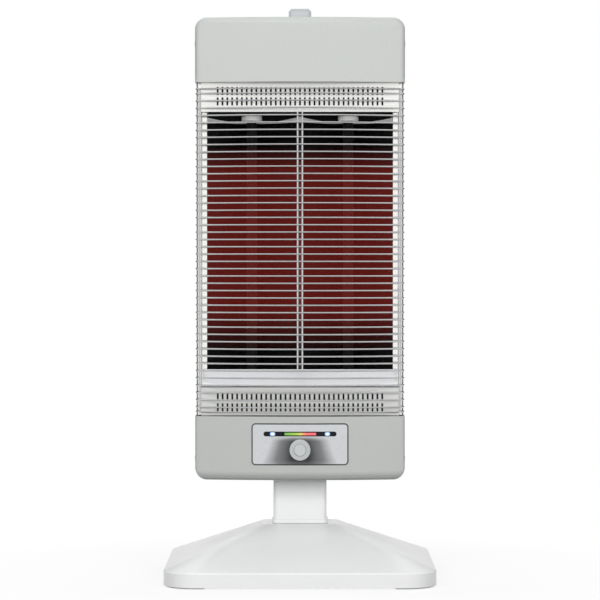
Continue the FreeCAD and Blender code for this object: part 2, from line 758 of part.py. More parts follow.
def make_rear_cover():
    """The back half of the case: a rounded tray with vents, tabs for the side screws and the opening."""
    half = num("head_width / 2")
    body = new_body("rear_cover_tray")
    outline = ("-head_width / 2", "head_width / 2", "head_low", "head_high", "head_corner")
    add(body, "XZ", "fit", "head_back", outline)
    back = num("head_back")
    round_edges(body, "back_roll", lambda e: e.BoundBox.YMin > back - 0.01)
    inner = new_body("rear_cover_hollow")
    hollow = ("-head_width / 2 + sheet", "head_width / 2 - sheet", "head_low + sheet", "head_high - sheet",
              "head_corner - sheet")
    add(inner, "XZ", "-cut_over", "head_back - sheet", hollow)
    inside = num("head_back - sheet")
    round_edges(inner, "back_roll - sheet", lambda e: e.BoundBox.YMin > inside - 0.01)
    shell = body.Shape.cut(inner.Shape)
    tools = [bottom_opening()]
    length, height = num("vent_length"), num("vent_height")
    cut_start, cut_depth = num("head_back - 3 * sheet"), 4 * num("sheet")
    for row in range(int(num("vent_rows"))):
        rise = row * num("vent_pitch")
        for start in (num("window_low"), num("window_high") - num("vent_pitch * (vent_rows - 1)")):
            for x in SIDES:
                place = V(x * half / 2 - length / 2, cut_start, start + rise)
                tools.append(Part.makeBox(length, cut_depth, height, place))
    for x in SIDES:
        for z in (num(rear_low), num(rear_high)):
            place = V(x * num(spacer_x), cut_start, z)
            tools.append(Part.makeCylinder(num("screw_radius + play"), cut_depth, place, V(0, 1, 0)))
    shell = shell.cut(tools)
    tab_size, sheet_thick = num("screw_head * 5"), num("sheet")
    for x in SIDES:
        for z in (num(screw_low), num(screw_high)):
            left = half - 2 * sheet_thick - num("fit") if x > 0 else -half + sheet_thick + num("fit")
            near = num(screw_y) - tab_size / 2
            foot = z - tab_size / 2
            tab = Part.makeBox(sheet_thick, 4 * sheet_thick - near, tab_size, V(left, near, foot))
            wall = left - sheet_thick / 2 if x < 0 else left
            bridge = Part.makeBox(1.5 * sheet_thick, 2 * sheet_thick, tab_size, V(wall, 2 * sheet_thick, foot))
            shell = shell.fuse([tab, bridge])
    shell = shell.cut([side_holes(num(screw_low)), side_holes(num(screw_high))]).removeSplitter()
    return shaped("rear_cover", shell)


def make_case_screws():
    half = num("head_width / 2")
    sides, back = [], []
    for x in SIDES:
        for z in (num(screw_low), num(screw_high)):
            sides.append(screw(V(x * half, num(screw_y), z), V(-x, 0, 0), num("side_screw_length")))
        for z in (num(rear_low), num(rear_high)):
            back.append(screw(V(x * num(spacer_x), num("head_back"), z), V(0, -1, 0), num("rear_screw_length")))
    shaped("side_screws", Part.makeCompound(sides))
    return shaped("rear_screws", Part.makeCompound(back))


def make_handle():
    """A carrying loop on the back of the head; its top shows above the hood."""
    body = new_body("carry_handle")
    half, reach = "(handle_width / 2)", "(handle_width / 2 + cut_over)"
    loop = ("head_back - handle_wrap", "handle_back", "handle_low", "handle_top", "handle_bar * 1.6")
    add(body, "YZ", f"-{half}", half, loop)
    seat = ("head_back - handle_wrap - cut_over", "head_back + fit", "handle_low - cut_over", "head_high + fit")
    take(body, "YZ", f"-{reach}", reach, seat)
    grip_corner = "handle_bar * 0.4"
    grip = (f"head_back - {grip_corner}", "handle_back - handle_bar", "handle_low + handle_bar",
            "handle_top - handle_bar", grip_corner)
    take(body, "YZ", f"-{reach}", reach, grip)
    side, back = num(half), num("head_back + cut_over")

    def outside(edge):
        return abs(abs(edge.CenterOfMass.x) - side) < 0.01 and edge.BoundBox.YMin > back

    bevel_edges(body, "handle_bar * 0.3", outside)
    return keep(body, "carry_handle")


# Heat: two sheathed rods in a double trough mirror
def trough_line(shift):
    """The plan curve of the mirror from left to right: flat flanges and two parabolas, moved back by shift."""
    front, apex = -num("mirror_front") + shift, num("mirror_apex") + shift
    reach, half, centre = num(trough_half), num(mirror_half), num(rod_x)
    stops = [i / 4 for i in range(-4, 5)]
    edges, last = [], V(-half, front, 0)
    for x in SIDES:
        curve = [V(x * centre + u * reach, apex - (apex - front) * u * u, 0) for u in stops]
        edges.append(Part.makeLine(last, curve[0]))
        for i in range(0, len(stops) - 1, 2):
            edges.append(Part.Arc(curve[i], curve[i + 1], curve[i + 2]).toShape())
        last = curve[-1]
    edges.append(Part.makeLine(last, V(half, front, 0)))
    return edges


def make_mirror():
    thick = num("mirror_sheet")
    front, back = trough_line(0), trough_line(thick)
    half = num(mirror_half)
    near = -num("mirror_front")
    ends = [Part.makeLine(V(x * half, near, 0), V(x * half, near + thick, 0)) for x in SIDES]
    profile = Part.Face(Part.Wire(Part.__sortEdges__(front + back + ends)))
    low, high = num("mirror_low"), num("mirror_high")
    mirror = profile.extrude(V(0, 0, high - low))
    mirror.translate(V(0, 0, low))
    depth = num(trough_depth)
    drop, side = num("mirror_drop"), -half - thick
    far, above = near + 2 * depth, high + drop
    corners = [V(side, near, high), V(side, far, high - 2 * drop), V(side, far, above), V(side, near, above)]
    wedge = Part.Face(Part.makePolygon(corners + corners[:1])).extrude(V(-2 * side, 0, 0))
    return shaped("mirror", mirror.cut(wedge))


def make_side_wings():
    """Polished strips that lap over the mirror's side edges and close the window beside it."""
    names = {-1: "left", 1: "right"}
    thick, wide = num("grate_sheet"), num("wing_width")
    inner, near = num(f"{mirror_half} - wing_lap"), num("-mirror_front - fit - grate_sheet")
    low, high = num(f"{sill_top} + fit"), num("window_high - grate_edge")
    for x in SIDES:
        left = inner if x > 0 else -inner - wide
        shaped(f"side_wing_{names[x]}", Part.makeBox(wide, thick, high - low, V(left, near, low)))


def make_grates():
    """Polished plates with two rows of slots, above and below the mirror; a wide hem seats in the case."""
    thick, half, edge = num("grate_sheet"), num(grate_half), num("grate_edge")
    near = -num("grate_face")
    hem_half = num("head_width / 2 - sheet - play")
    hem = num("grate_hem")
    pitch = num("slot_pitch")
    columns = int(num(f"2 * {grate_half} - slot_margin") / pitch) + 1
    wide, tall, step = num("slot_width"), num("slot_height"), num("slot_row_step")
    spots = {"upper_grate": (num("window_high") - edge, 1), "lower_grate": (num("window_low"), -1)}
    for label, (low, up) in spots.items():
        plate = Part.makeBox(2 * half, thick, edge, V(-half, near, low))
        hem_low = low + edge if up > 0 else low - hem
        plate = plate.fuse(Part.makeBox(2 * hem_half, thick, hem, V(-hem_half, near, hem_low))).removeSplitter()
        middle = low + edge / 2 + up * num("slot_shift")
        slots = []
        for row in (-0.5, 0.5):
            for column in range(columns):
                x = (column - (columns - 1) / 2) * pitch
                place = V(x - wide / 2, near - thick, middle + row * step - tall / 2)
                slots.append(Part.makeBox(wide, 3 * thick, tall, place))
        shaped(label, plate.cut(Part.makeCompound(slots)))


def make_sill():
    """The bright strip that slopes from the mirror's foot, which it laps over, to the lower grate."""
    thick, half = num("grate_sheet"), num(mirror_half)
    low, high = num("window_low + grate_edge + fit"), num(sill_top)
    near, far = num("-grate_face"), num("-mirror_front - fit - grate_sheet")
    section = [(near, low), (far, high), (far + thick, high), (near + thick, low)]
    points = [V(-half, y, z) for y, z in section]
    return shaped("sill_reflector", Part.Face(Part.makePolygon(points + points[:1])).extrude(V(2 * half, 0, 0)))


def make_heaters():
    names = {-1: "left", 1: "right"}
    low = f"({lower_collar_low} - bracket_sheet - rod_end)"
    high = f"({upper_collar_top} + bracket_sheet + rod_end)"
    for x in SIDES:
        rod = slab(f"heater_rod_{names[x]}", "XY", low, high, (f"{x} * {rod_x}", rod_y, "rod_radius"))
        bevel_edges(rod, "rod_radius / 4", lambda e: e.Closed)
    collars = {"upper_collars": (num(upper_collar_top), -1), "lower_collars": (num(lower_collar_low), 1)}
    for label, (seat, up) in collars.items():
        rings = []
        for x in SIDES:
            place = V(x * num(rod_x), num(rod_y), seat)
            ring = Part.makeCylinder(num("collar_radius"), num("collar_height"), place, V(0, 0, up))
            seat_edges = [e for e in ring.Edges if e.Closed and abs(e.CenterOfMass.z - seat) < 0.01]
            ring = ring.makeChamfer(num("collar_height") * 0.25, seat_edges)
            bore = Part.makeCylinder(num("rod_radius + fit"), num("collar_height"), place, V(0, 0, up))
            rings.append(ring.cut(bore).Solids[0])
        shaped(label, Part.makeCompound(rings))
    studs = []
    for x in SIDES:
        for z, up in ((num(low), -1), (num(high), 1)):
            place = V(x * num(rod_x), num(rod_y), z)
            stud = Part.makeCylinder(num("rod_radius / 3"), num("stud_length"), place, V(0, 0, up))
            nut_place = place + V(0, 0, up * num("stud_length / 2"))
            nut = Part.makeCylinder(num("rod_radius * 0.6"), num("rod_radius / 2"), nut_place, V(0, 0, up))
            studs.append(stud.fuse(nut).removeSplitter().Solids[0])
    shaped("heater_terminals", Part.makeCompound(studs))


def make_heater_brackets():
    spots = {"upper_bracket": upper_collar_top, "lower_bracket": f"{lower_collar_low} - bracket_sheet"}
    for label, low in spots.items():
        half = f"({rod_x} + bracket_reach)"
        back = "spine_back - spine_sheet - fit"
        outline = (f"-{half}", half, f"{rod_y} - collar_radius", back, "2 * spine_sheet")
        body = slab(label, "XY", low, f"{low} + bracket_sheet", outline)
        for x in SIDES:
            take(body, "XY", low, f"{low} + bracket_sheet", (f"{x} * {rod_x}", rod_y, "rod_radius + play"))


# Guard: bowed wires that turn back along the sides, welded to upright rods
def wire_levels():
    """Heights of the wires: an even run, with one closer wire past each end."""
    count, pitch = int(num("wire_count")), num("wire_pitch")
    middle = num("(window_low + window_high) / 2 - wire_drop")
    low = middle - (count - 1) * pitch / 2
    levels = [low + i * pitch for i in range(count)]
    return [low - num("wire_end_step")] + levels + [levels[-1] + num("wire_end_step")]


def guard_path():
    """One wire's line in plan: a bow of short chords, then a turn back to the case on each side."""
    radius, turn = num("wire_radius"), num("guard_turn")
    front = num("head_front") - radius
    side = num("head_width / 2") - radius
    reach = side - turn
    chords = int(num("bow_chords"))
    stops = [reach * (2 * i / chords - 1) for i in range(chords + 1)]
    bow = [V(x, bow_y(x, front, GUARD_BOW), 0) for x in stops]
    corner = bow[-1]
    ends = [V(side, corner.y + turn, 0), V(side, -num("fit"), 0)]
    mirrored = [V(-p.x, p.y, 0) for p in reversed(ends)]
    return mirrored + bow + ends


def make_guard():
    points = guard_path()
    radius = num("wire_radius")
    path = Part.makePolygon(points)
    start, along = points[0], (points[1] - points[0]).normalize()
    across = V(0, 0, 1).cross(along)
    ring = []
    for i in range(6):
        angle = math.pi / 6 + i * math.pi / 3
        ring.append(start + across * (radius * math.cos(angle)) + V(0, 0, radius * math.sin(angle)))
    section = Part.makePolygon(ring + ring[:1])
    pipe = Part.BRepOffsetAPI.MakePipeShell(path)
    pipe.setTransitionMode(1)
    pipe.add(section)
    pipe.build()
    pipe.makeSolid()
    wire = pipe.shape()
    wires = []
    for level in wire_levels():
        copy = wire.copy()
        copy.translate(V(0, 0, level))
        wires.append(copy)
    shaped("guard_wires", Part.makeCompound(wires))
    levels = wire_levels()
    flat = radius * math.cos(math.pi / 6)
    rods = []
    side_radius, centre_radius = num("side_rod_radius"), num("centre_rod_radius")
    bend = (points[-3] + points[-2]) * 0.5
    inward = V(-1, 1, 0).normalize()
    corner = bend + inward * (flat + side_radius + num("fit"))
    centre_y = -num("head_front") + radius + flat + centre_radius + num("play")
    for x in SIDES:
        place = V(x * corner.x, corner.y, levels[0] - radius)
        rods.append(Part.makeCylinder(side_radius, levels[-1] - levels[0] + 2 * radius, place))
        place = V(x * num("centre_rod_gap / 2"), centre_y, num(sill_top))
        rods.append(Part.makeCylinder(centre_radius, num(f"window_high - grate_edge - {sill_top}"), place))
    shaped("guard_rods", Part.makeCompound(rods))


# Chassis: a spine behind the mirror with ears for the tilt pin, straps for the mirror and spacers
def make_chassis():
    body = new_body("chassis")
    low, high = "(tilt_height - fork_depth / 2)", "(head_high - spine_end)"
    web_front = "(spine_back - spine_sheet)"
    add(body, "XY", low, high, ("-spine_half", "spine_half", web_front, "spine_back"))
    for x in SIDES:
        left = "-spine_half" if x < 0 else "spine_half - spine_sheet"
        flange = (left, f"{left} + spine_sheet", spine_front, "spine_back")
        add(body, "XY", "mirror_low", "mirror_high - flange_end", flange)
        inner = f"-{ear_inner} - ear_thick" if x < 0 else ear_inner
        ear = (inner, f"{inner} + ear_thick", "-fork_depth / 2", "spine_back")
        add(body, "XY", low, "tilt_height + fork_depth / 2", ear)
    for z in ("mirror_low + strap_low", "mirror_high - strap_high"):
        half = f"({rod_x} + strap_reach)"
        strap = (f"-{half}", half, spine_front, f"{spine_front} + spine_sheet")
        add(body, "XY", z, f"{z} + strap_height", strap)
    for x in SIDES:
        for z in (rear_low, rear_high):
            place = (f"{x} * {spacer_x}", z)
            add(body, "XZ", "spine_back - cut_over", "head_back - sheet - fit", (*place, "screw_head"))
            take(body, "XZ", "spine_back - spine_sheet", "head_back", (*place, "screw_radius + fit"))
    reach = f"({ear_inner} + ear_thick + cut_over)"
    take(body, "YZ", f"-{reach}", reach, ("0", "tilt_height", "pin_radius + fit"))
    front = num("-fork_depth / 2") + 0.01
    round_edges(body, "fork_depth * 0.3", lambda e: runs_along(e, V(1, 0, 0)) and e.CenterOfMass.y < front)
    return keep(body, "chassis")


def make_heat_shield():
    """A sheet between the chassis and the rear cover that keeps the heat off the vents; the spacers carry it."""
    half, inset = "(head_width / 2 - shield_margin)", "shield_margin"
    near, far = "(spine_back + fit)", "(spine_back + fit + shield_sheet)"
    outline = (f"-{half}", half, "head_low + shield_margin", "head_high - shield_margin", inset)
    body = slab("heat_shield", "XZ", near, far, outline)
    for x in SIDES:
        for z in (rear_low, rear_high):
            take(body, "XZ", near, far, (f"{x} * {spacer_x}", z, "screw_head + fit"))
    return body


def make_cutout():
    """The thermal cut-out, a round button clipped to the upper strap, and the terminal block on the spine."""
    place = V(0, num(spine_front) - num("fit"), num("mirror_high - cutout_drop"))
    can = Part.makeCylinder(num("cutout_radius"), num("cutout_height"), place, V(0, -1, 0))
    flange = Part.makeCylinder(num("cutout_flange"), num("cutout_sheet"), place, V(0, -1, 0))
    shaped("thermal_cutout", can.fuse(flange).removeSplitter())
    back = "(spine_back - spine_sheet - fit)"
    front = f"({back} - block_depth)"
    outline = ("-block_half", "block_half", "window_low", "window_low + block_height", "block_corner")
    block = slab("terminal_block", "XZ", front, back, outline)
    for i in (-1, 0, 1):
        place = (f"{i} * block_pitch", "window_low + block_height / 2", "1.5 * screw_radius")
        take(block, "XZ", front, f"{front} + 0.6 * block_depth", place)


# Controls: a flush plate with a display strip, a dial and a push button in the dial's middle
def make_control_plate():
    half, middle = num("panel_width / 2"), num(panel_middle)
    tall = num("panel_height / 2")
    front, corner = num("head_front"), num("panel_corner")
    lip, thick, sheet_thick = num("panel_lip"), num("panel_thick"), num("sheet + fit")
    low, high = middle - tall, middle + tall
    face = rounded_plate(half, low, high, front, sheet_thick + thick, corner)
    back = rounded_plate(half + lip, low - lip, high + lip, front - sheet_thick, thick, corner)
    plate = face.fuse(back)
    for x in SIDES:
        for z in SIDES:
            post_x, post_z = half - num("post_inset_x"), tall - num("post_inset_z")
            place = V(x * post_x, -num(panel_back), middle + z * post_z)
            plate = plate.fuse(Part.makeCylinder(num("post_radius"), num("board_gap"), place, V(0, 1, 0)))
    over = num("cut_over")
    slot_half, slot_tall = num("display_width / 2 + fit"), num("display_height + 2 * fit")
    window = display_block(slot_half, slot_tall, front + over, num("display_thick") + over)
    place, depth = V(0, -front - over, num(dial_middle)), sheet_thick + thick + 2 * over
    hole = Part.makeCylinder(num("spindle_radius + play"), depth, place, V(0, 1, 0))
    return shaped("control_plate", plate.cut([window, hole]).removeSplitter())


def make_gasket():
    """A dark seal that fills the gap between the control plate and the lower panel."""
    half, tall, middle = num("panel_width / 2"), num("panel_height / 2"), num(panel_middle)
    front, corner = num("head_front - gasket_recess"), num("panel_corner")
    thick = num("sheet - gasket_recess")
    seal = []
    for grow in (num("panel_gap - fit"), num("fit")):
        low, high = middle - tall - grow, middle + tall + grow
        seal.append(rounded_plate(half + grow, low, high, front, thick, corner + grow))
    return shaped("panel_gasket", seal[0].cut(seal[1]))


def display_block(half, tall, front, thick):
    """A bulged strip with round ends, centred on the display."""
    middle = num(display_middle)
    return rounded_plate(half, middle - tall / 2, middle + tall / 2, front, thick, tall * 0.48)


def lamp(x_low, x_high, tall):
    """A thin lens on the display strip."""
    low, thick = num(display_middle) - tall / 2, num("lamp_thick")
    front = num("head_front") + thick
    strip = bow_block(num("display_width / 2"), low, low + tall, front, thick=thick)
    return strip.common(Part.makeBox(x_high - x_low, front, tall, V(x_low, -front, low)))


def make_display():
    wide, tall, thick = num("display_width / 2"), num("display_height"), num("display_thick - fit")
    shaped("display_strip", display_block(wide, tall, num("head_front"), thick))
    half, offset = num("lamp_width / 2"), num("lamp_offset")
    lamps = [lamp(x * offset - half, x * offset + half, num("lamp_height")).Solids[0] for x in SIDES]
    shaped("status_lamps", Part.makeCompound(lamps))
    start, turn = num("bar_start"), num("bar_start + green_width")
    shaped("level_bar_green", lamp(start, turn - num("fit"), num("bar_height")))
    shaped("level_bar_red", lamp(turn + num("fit"), turn + num("red_width"), num("bar_height")))


def make_dial():
    body = new_body("dial")
    add(body, "XZ", dial_front, "-head_front - play", ("0", dial_middle, "dial_radius"))
    bevel_edges(body, "dial_height * 0.1", lambda e: e.Closed and e.CenterOfMass.y < num(dial_front) + 0.1)
    spindle = ("0", dial_middle, "spindle_radius")
    add(body, "XZ", "-head_front - play - cut_over", f"{board_front} - spindle_gap", spindle)
    bore = f"{dial_front} + button_height + button_travel"
    take(body, "XZ", dial_front, bore, ("0", dial_middle, "button_radius + play"))
    keep(body, "dial")
    button = new_body("push_button")
    near = f"({dial_front} - button_proud)"
    add(button, "XZ", near, f"{near} + button_height", ("0", dial_middle, "button_radius"))
    bevel_edges(button, "button_height * 0.15", lambda e: e.Closed and e.CenterOfMass.y < num(near) + 0.1)
    return keep(button, "push_button")


def make_board():
    wide, tall = "(panel_width / 2 - board_inset)", "(panel_height / 2 - board_inset)"
    outline = (f"-{wide}", wide, f"{panel_middle} - {tall}", f"{panel_middle} + {tall}", "board_inset")
    slab("control_board", "XZ", board_front, f"{board_front} + board_thick", outline)
    low, high = f"{dial_middle} - encoder_size / 2", f"{dial_middle} + encoder_size / 2"
    case = ("-encoder_size / 2", "encoder_size / 2", low, high, "encoder_corner")
    front, socket = f"({board_front} - encoder_depth)", ("0", dial_middle, "spindle_radius + fit")
    encoder = slab("encoder", "XZ", front, f"{board_front} - fit", case)
    take(encoder, "XZ", front, f"{board_front} - encoder_floor", socket)


def build_all():
    make_base_cover()
    make_base_plate()
    make_feet()
    make_base_screws()
    make_cord_gland()
    make_tip_switch()
    make_swivel()
    make_column()
    make_tilt_pin()
    make_upper_hood()
    make_lower_panel()
    make_rear_cover()
    make_case_screws()
    make_handle()
    make_mirror()
    make_side_wings()
    make_grates()
    make_sill()
    make_heaters()
    make_heater_brackets()
    make_guard()
    make_chassis()
    make_heat_shield()
    make_cutout()
    make_control_plate()
    make_gasket()
    make_display()
    make_dial()
    make_board()


def check_and_write():
    """Stops at a failed feature or a bad shape, then writes one file for each sub-part."""
    doc.recompute()
    for item in doc.Objects:
        if {"Invalid", "Error"} & set(item.State):
            raise RuntimeError(f"{item.Label} failed: {item.State}")
    for piece in finished:
        if piece.Shape.isNull() or not piece.Shape.isValid() or not piece.Shape.Solids:
            raise RuntimeError(f"{piece.Label} has no valid solid")
    os.makedirs("parts", exist_ok=True)
    for piece in finished:
        piece.Shape.exportStep(f"parts/{piece.Label}.step")
    print(f"{len(finished)} sub-parts written")


build_all()
check_and_write()
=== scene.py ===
# %% [markdown]
# # An infrared heater
#
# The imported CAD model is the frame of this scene: every piece keeps the place and the size
# that it has there. What is left for Blender is the look. The wire guard becomes round wire,
# the mirror a fine parabola and the sheets beside it folded sheets, and every surface gets a
# finish of its own. All lengths are metres; +Z is up and the front of the heater faces -Y.

# %% Load the frame
import json
import math

import bpy
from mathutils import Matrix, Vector


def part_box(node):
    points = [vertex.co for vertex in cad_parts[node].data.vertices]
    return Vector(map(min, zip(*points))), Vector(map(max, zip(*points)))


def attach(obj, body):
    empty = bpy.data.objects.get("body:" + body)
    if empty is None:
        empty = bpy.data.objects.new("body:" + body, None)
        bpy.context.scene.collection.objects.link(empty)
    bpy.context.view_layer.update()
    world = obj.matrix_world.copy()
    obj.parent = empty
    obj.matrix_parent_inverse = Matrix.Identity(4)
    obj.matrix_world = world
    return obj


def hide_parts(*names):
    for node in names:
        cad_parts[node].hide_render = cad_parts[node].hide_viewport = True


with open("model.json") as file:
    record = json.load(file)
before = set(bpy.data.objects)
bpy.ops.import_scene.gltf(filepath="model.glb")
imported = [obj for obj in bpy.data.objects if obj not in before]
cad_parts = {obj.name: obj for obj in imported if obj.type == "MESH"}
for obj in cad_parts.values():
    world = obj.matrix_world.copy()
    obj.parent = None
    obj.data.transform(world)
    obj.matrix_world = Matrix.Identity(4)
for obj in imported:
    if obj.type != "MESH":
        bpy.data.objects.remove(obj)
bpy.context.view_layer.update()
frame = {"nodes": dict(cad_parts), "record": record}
nodes = frame["nodes"]
record = frame["record"]
MM = 0.001

# %% [markdown]
# ## Camera
#
# The photograph is nearly free of perspective, so it was taken from far away with a long
# lens. The base shows a little of its top, which gives the height of the camera, and the
# small tilt keeps the middle of the picture a hand's breadth under that height.

# %% Camera
CAMERA_DISTANCE = 3.45
CAMERA_HEIGHT = 0.3876
CAMERA_TILT = math.radians(0.906)
SENSOR_MM = 36
LENS_MM = 170.8

camera_turn = (math.pi / 2 - CAMERA_TILT, 0, 0)
camera_spot = (0, -CAMERA_DISTANCE, CAMERA_HEIGHT)
bpy.ops.object.camera_add(location=camera_spot, rotation=camera_turn)
camera = bpy.context.object
camera.data.sensor_width = SENSOR_MM
camera.data.lens = LENS_MM
bpy.context.scene.camera = camera
print(f"camera {CAMERA_DISTANCE} m away with a {LENS_MM} mm lens")

# %% [markdown]
# ## Studio
#
# The photograph has a white ground. White comes from what the camera, the gloss and any
# glass see of the world, while the light that falls on the heater stays at a plain level.
# The floor is matt near the heater, so that it takes the shadow, and fades into the same
# white further out. It throws little light back up, so that undersides stay darker.

# %% Studio world
WORLD_LIGHT = 0.14
WHITE = (1, 1, 1, 1)


def combine(tree, operation, first, second=None):
    """A Math node on one source, on two, or on a source and a number."""
    step = tree.nodes.new("ShaderNodeMath")
    step.operation = operation
    tree.links.new(first, step.inputs[0])
    if isinstance(second, float):
        step.inputs[1].default_value = second
    elif second is not None:
        tree.links.new(second, step.inputs[1])
    return step.outputs[0]


def seen_directly(tree):
    """1 for rays from the camera, a glossy or a clear surface, and 0 for diffuse light."""
    ray = tree.nodes.new("ShaderNodeLightPath").outputs
    seen = combine(tree, "MAXIMUM", ray["Is Camera Ray"], ray["Is Glossy Ray"])
    return combine(tree, "MAXIMUM", seen, ray["Is Transmission Ray"])


world = bpy.data.worlds.new("studio")
bpy.context.scene.world = world
world.use_nodes = True
sky = world.node_tree
sky.nodes["Background"].inputs["Strength"].default_value = WORLD_LIGHT
sky.nodes["Background"].inputs["Color"].default_value = WHITE
white_ground = sky.nodes.new("ShaderNodeBackground")
white_ground.inputs["Color"].default_value = WHITE
choose = sky.nodes.new("ShaderNodeMixShader")
sky.links.new(seen_directly(sky), choose.inputs[0])
sky.links.new(sky.nodes["Background"].outputs[0], choose.inputs[1])
sky.links.new(white_ground.outputs[0], choose.inputs[2])
sky.links.new(choose.outputs[0], sky.nodes["World Output"].inputs["Surface"])
bpy.context.scene.view_settings.view_transform = "Standard"
print("white ground, plain light")

# %% Floor
FLOOR_SIZE = 12.0
FLOOR_DROP = 0.4 * MM
SHADOW_NEAR = 0.22
SHADOW_FAR = 0.55
NEAR_WHITE = 0.8
FLOOR_SEEN = (0.93, 0.93, 0.93, 1)
FLOOR_BOUNCE = (0.32, 0.32, 0.32, 1)
CLOTH_ROUGHNESS = 0.9

bpy.ops.object.select_all(action="DESELECT")
bpy.ops.mesh.primitive_plane_add(size=FLOOR_SIZE, location=(0, 0, -FLOOR_DROP))
floor = bpy.context.object
floor.name = "floor"
bpy.ops.object.transform_apply(location=True)

floor_paint = bpy.data.materials.new("floor_paint")
floor_paint.use_nodes = True
tree = floor_paint.node_tree
matt = tree.nodes["Principled BSDF"]
matt.inputs["Roughness"].default_value = CLOTH_ROUGHNESS
matt.inputs["Specular IOR Level"].default_value = 0.0
bounce = tree.nodes.new("ShaderNodeMix")
bounce.data_type = "RGBA"
bounce.inputs["A"].default_value = FLOOR_SEEN
bounce.inputs["B"].default_value = FLOOR_BOUNCE
ray = tree.nodes.new("ShaderNodeLightPath")
tree.links.new(ray.outputs["Is Diffuse Ray"], bounce.inputs["Factor"])
tree.links.new(bounce.outputs["Result"], matt.inputs["Base Color"])
glow = tree.nodes.new("ShaderNodeEmission")
place = tree.nodes.new("ShaderNodeTexCoord")
away = tree.nodes.new("ShaderNodeVectorMath")
away.operation = "LENGTH"
fade = tree.nodes.new("ShaderNodeMapRange")
fade.interpolation_type = "SMOOTHSTEP"
fade.inputs["From Min"].default_value = SHADOW_NEAR
fade.inputs["From Max"].default_value = SHADOW_FAR
fade.inputs["To Min"].default_value = NEAR_WHITE
blend = tree.nodes.new("ShaderNodeMixShader")
tree.links.new(place.outputs["Object"], away.inputs[0])
tree.links.new(away.outputs["Value"], fade.inputs["Value"])
whiteness = combine(tree, "MULTIPLY", fade.outputs["Result"], seen_directly(tree))
tree.links.new(whiteness, blend.inputs[0])
tree.links.new(matt.outputs[0], blend.inputs[1])
tree.links.new(glow.outputs[0], blend.inputs[2])
tree.links.new(blend.outputs[0], tree.nodes["Material Output"].inputs["Surface"])
floor.data.materials.append(floor_paint)
print("floor fades to white beyond", SHADOW_FAR, "m")

# %% [markdown]
# ## Lamps
#
# Two large soft lamps in front model the case, one above lights its top, and two behind keep
# the back readable when the heater turns. All of them are hidden from reflections: a lamp in
# the chrome would burn out, and the bright metals should mirror the white ground instead.

# %% Lamps
LAMP_AIM = Vector((0, 0, 0.35))
LAMPS = {
    "key_lamp": ((-1.0, -2.7, 1.40), 2.0, 50),
    "fill_lamp": ((1.1, -2.8, 1.15), 2.0, 42),
    "top_lamp": ((0.0, -0.2, 2.6), 1.6, 18),
    "rear_left_lamp": ((-1.9, 2.0, 1.1), 1.8, 34),
    "rear_right_lamp": ((1.9, 2.0, 1.1), 1.8, 34),
}
for name, (spot, size, power) in LAMPS.items():
    bpy.ops.object.light_add(type="AREA", location=spot)
    lamp = bpy.context.object
    lamp.name = name
    lamp.data.size = size
    lamp.data.energy = power
    lamp.visible_glossy = False
    towards = LAMP_AIM - Vector(spot)
    lamp.rotation_euler = towards.to_track_quat("-Z", "Y").to_euler()
print(len(LAMPS), "soft lamps")

# %% [markdown]
# ## Flags
#
# Dark cards give the chrome and the rolled edges something dark to reflect, so that a white
# object keeps its outline on a white ground. Photographers call them flags. One lies on the
# floor in front and one stands on each side and reaches back. Only reflections see them:
# they are hidden from the camera and cast no shadow. Each one thins out towards its edge,
# because a hard edge would show as a line across the metal.

# %% Flags
FLAGS = {
    "flag_front": ((0, -1.15, 0.002), (3.0, 2.3), (0, 0, 0), 0.04),
    "flag_left": ((-0.5, 1.1, 0.45), (1.9, 2.8), (0, math.pi / 2, 0), 0.06),
    "flag_right": ((0.5, 1.1, 0.45), (1.9, 2.8), (0, math.pi / 2, 0), 0.06),
}
FLAG_SOLID = 0.5


def soft_cloth(name, grey, middle, halves):
    """Grey cloth that thins out from half way to its edge."""
    finish = bpy.data.materials.new(name)
    finish.use_nodes = True
    tree = finish.node_tree
    cloth = tree.nodes["Principled BSDF"]
    cloth.inputs["Base Color"].default_value = (grey, grey, grey, 1)
    cloth.inputs["Roughness"].default_value = CLOTH_ROUGHNESS
    place = tree.nodes.new("ShaderNodeTexCoord")
    scaled = tree.nodes.new("ShaderNodeMapping")
    stretch = [1 / half if half else 0 for half in halves]
    scaled.inputs["Scale"].default_value = stretch
    scaled.inputs["Location"].default_value = [-m * s for m, s in zip(middle, stretch)]
    out = tree.nodes.new("ShaderNodeVectorMath")
    out.operation = "LENGTH"
    thin = tree.nodes.new("ShaderNodeMapRange")
    thin.interpolation_type = "SMOOTHSTEP"
    thin.inputs["From Min"].default_value = 1.0
    thin.inputs["From Max"].default_value = FLAG_SOLID
    tree.links.new(place.outputs["Object"], scaled.inputs["Vector"])
    tree.links.new(scaled.outputs["Vector"], out.inputs[0])
    tree.links.new(out.outputs["Value"], thin.inputs["Value"])
    tree.links.new(thin.outputs["Result"], cloth.inputs["Alpha"])
    return finish


for name, (spot, (long, wide), turn, grey) in FLAGS.items():
    halves = (0, wide / 2, long / 2) if turn[1] else (long / 2, wide / 2, 0)
    flag_cloth = soft_cloth(name + "_cloth", grey, spot, halves)
    bpy.ops.object.select_all(action="DESELECT")
    bpy.ops.mesh.primitive_plane_add(size=1, location=spot, rotation=turn)
    flag = bpy.context.object
    flag.name = name
    flag.scale = (long, wide, 1)
    bpy.ops.object.transform_apply(location=True, rotation=True, scale=True)
    flag.visible_camera = False
    flag.visible_diffuse = False
    flag.visible_shadow = False
    flag.data.materials.append(flag_cloth)
print(len(FLAGS), "flags")

# %% [markdown]
# ## Building blocks for the finishes
#
# A finish is a Principled shader with a few textures on Object coordinates. The same steps
# return in all of them: a noise at the scale of the real grain, a ramp that turns it into
# colour or roughness, a bump, and a second colour laid over the first. Each step is a small
# function here.

# %% Finish helpers
FINISHES = {}
COAT_ROUGHNESS = 0.15


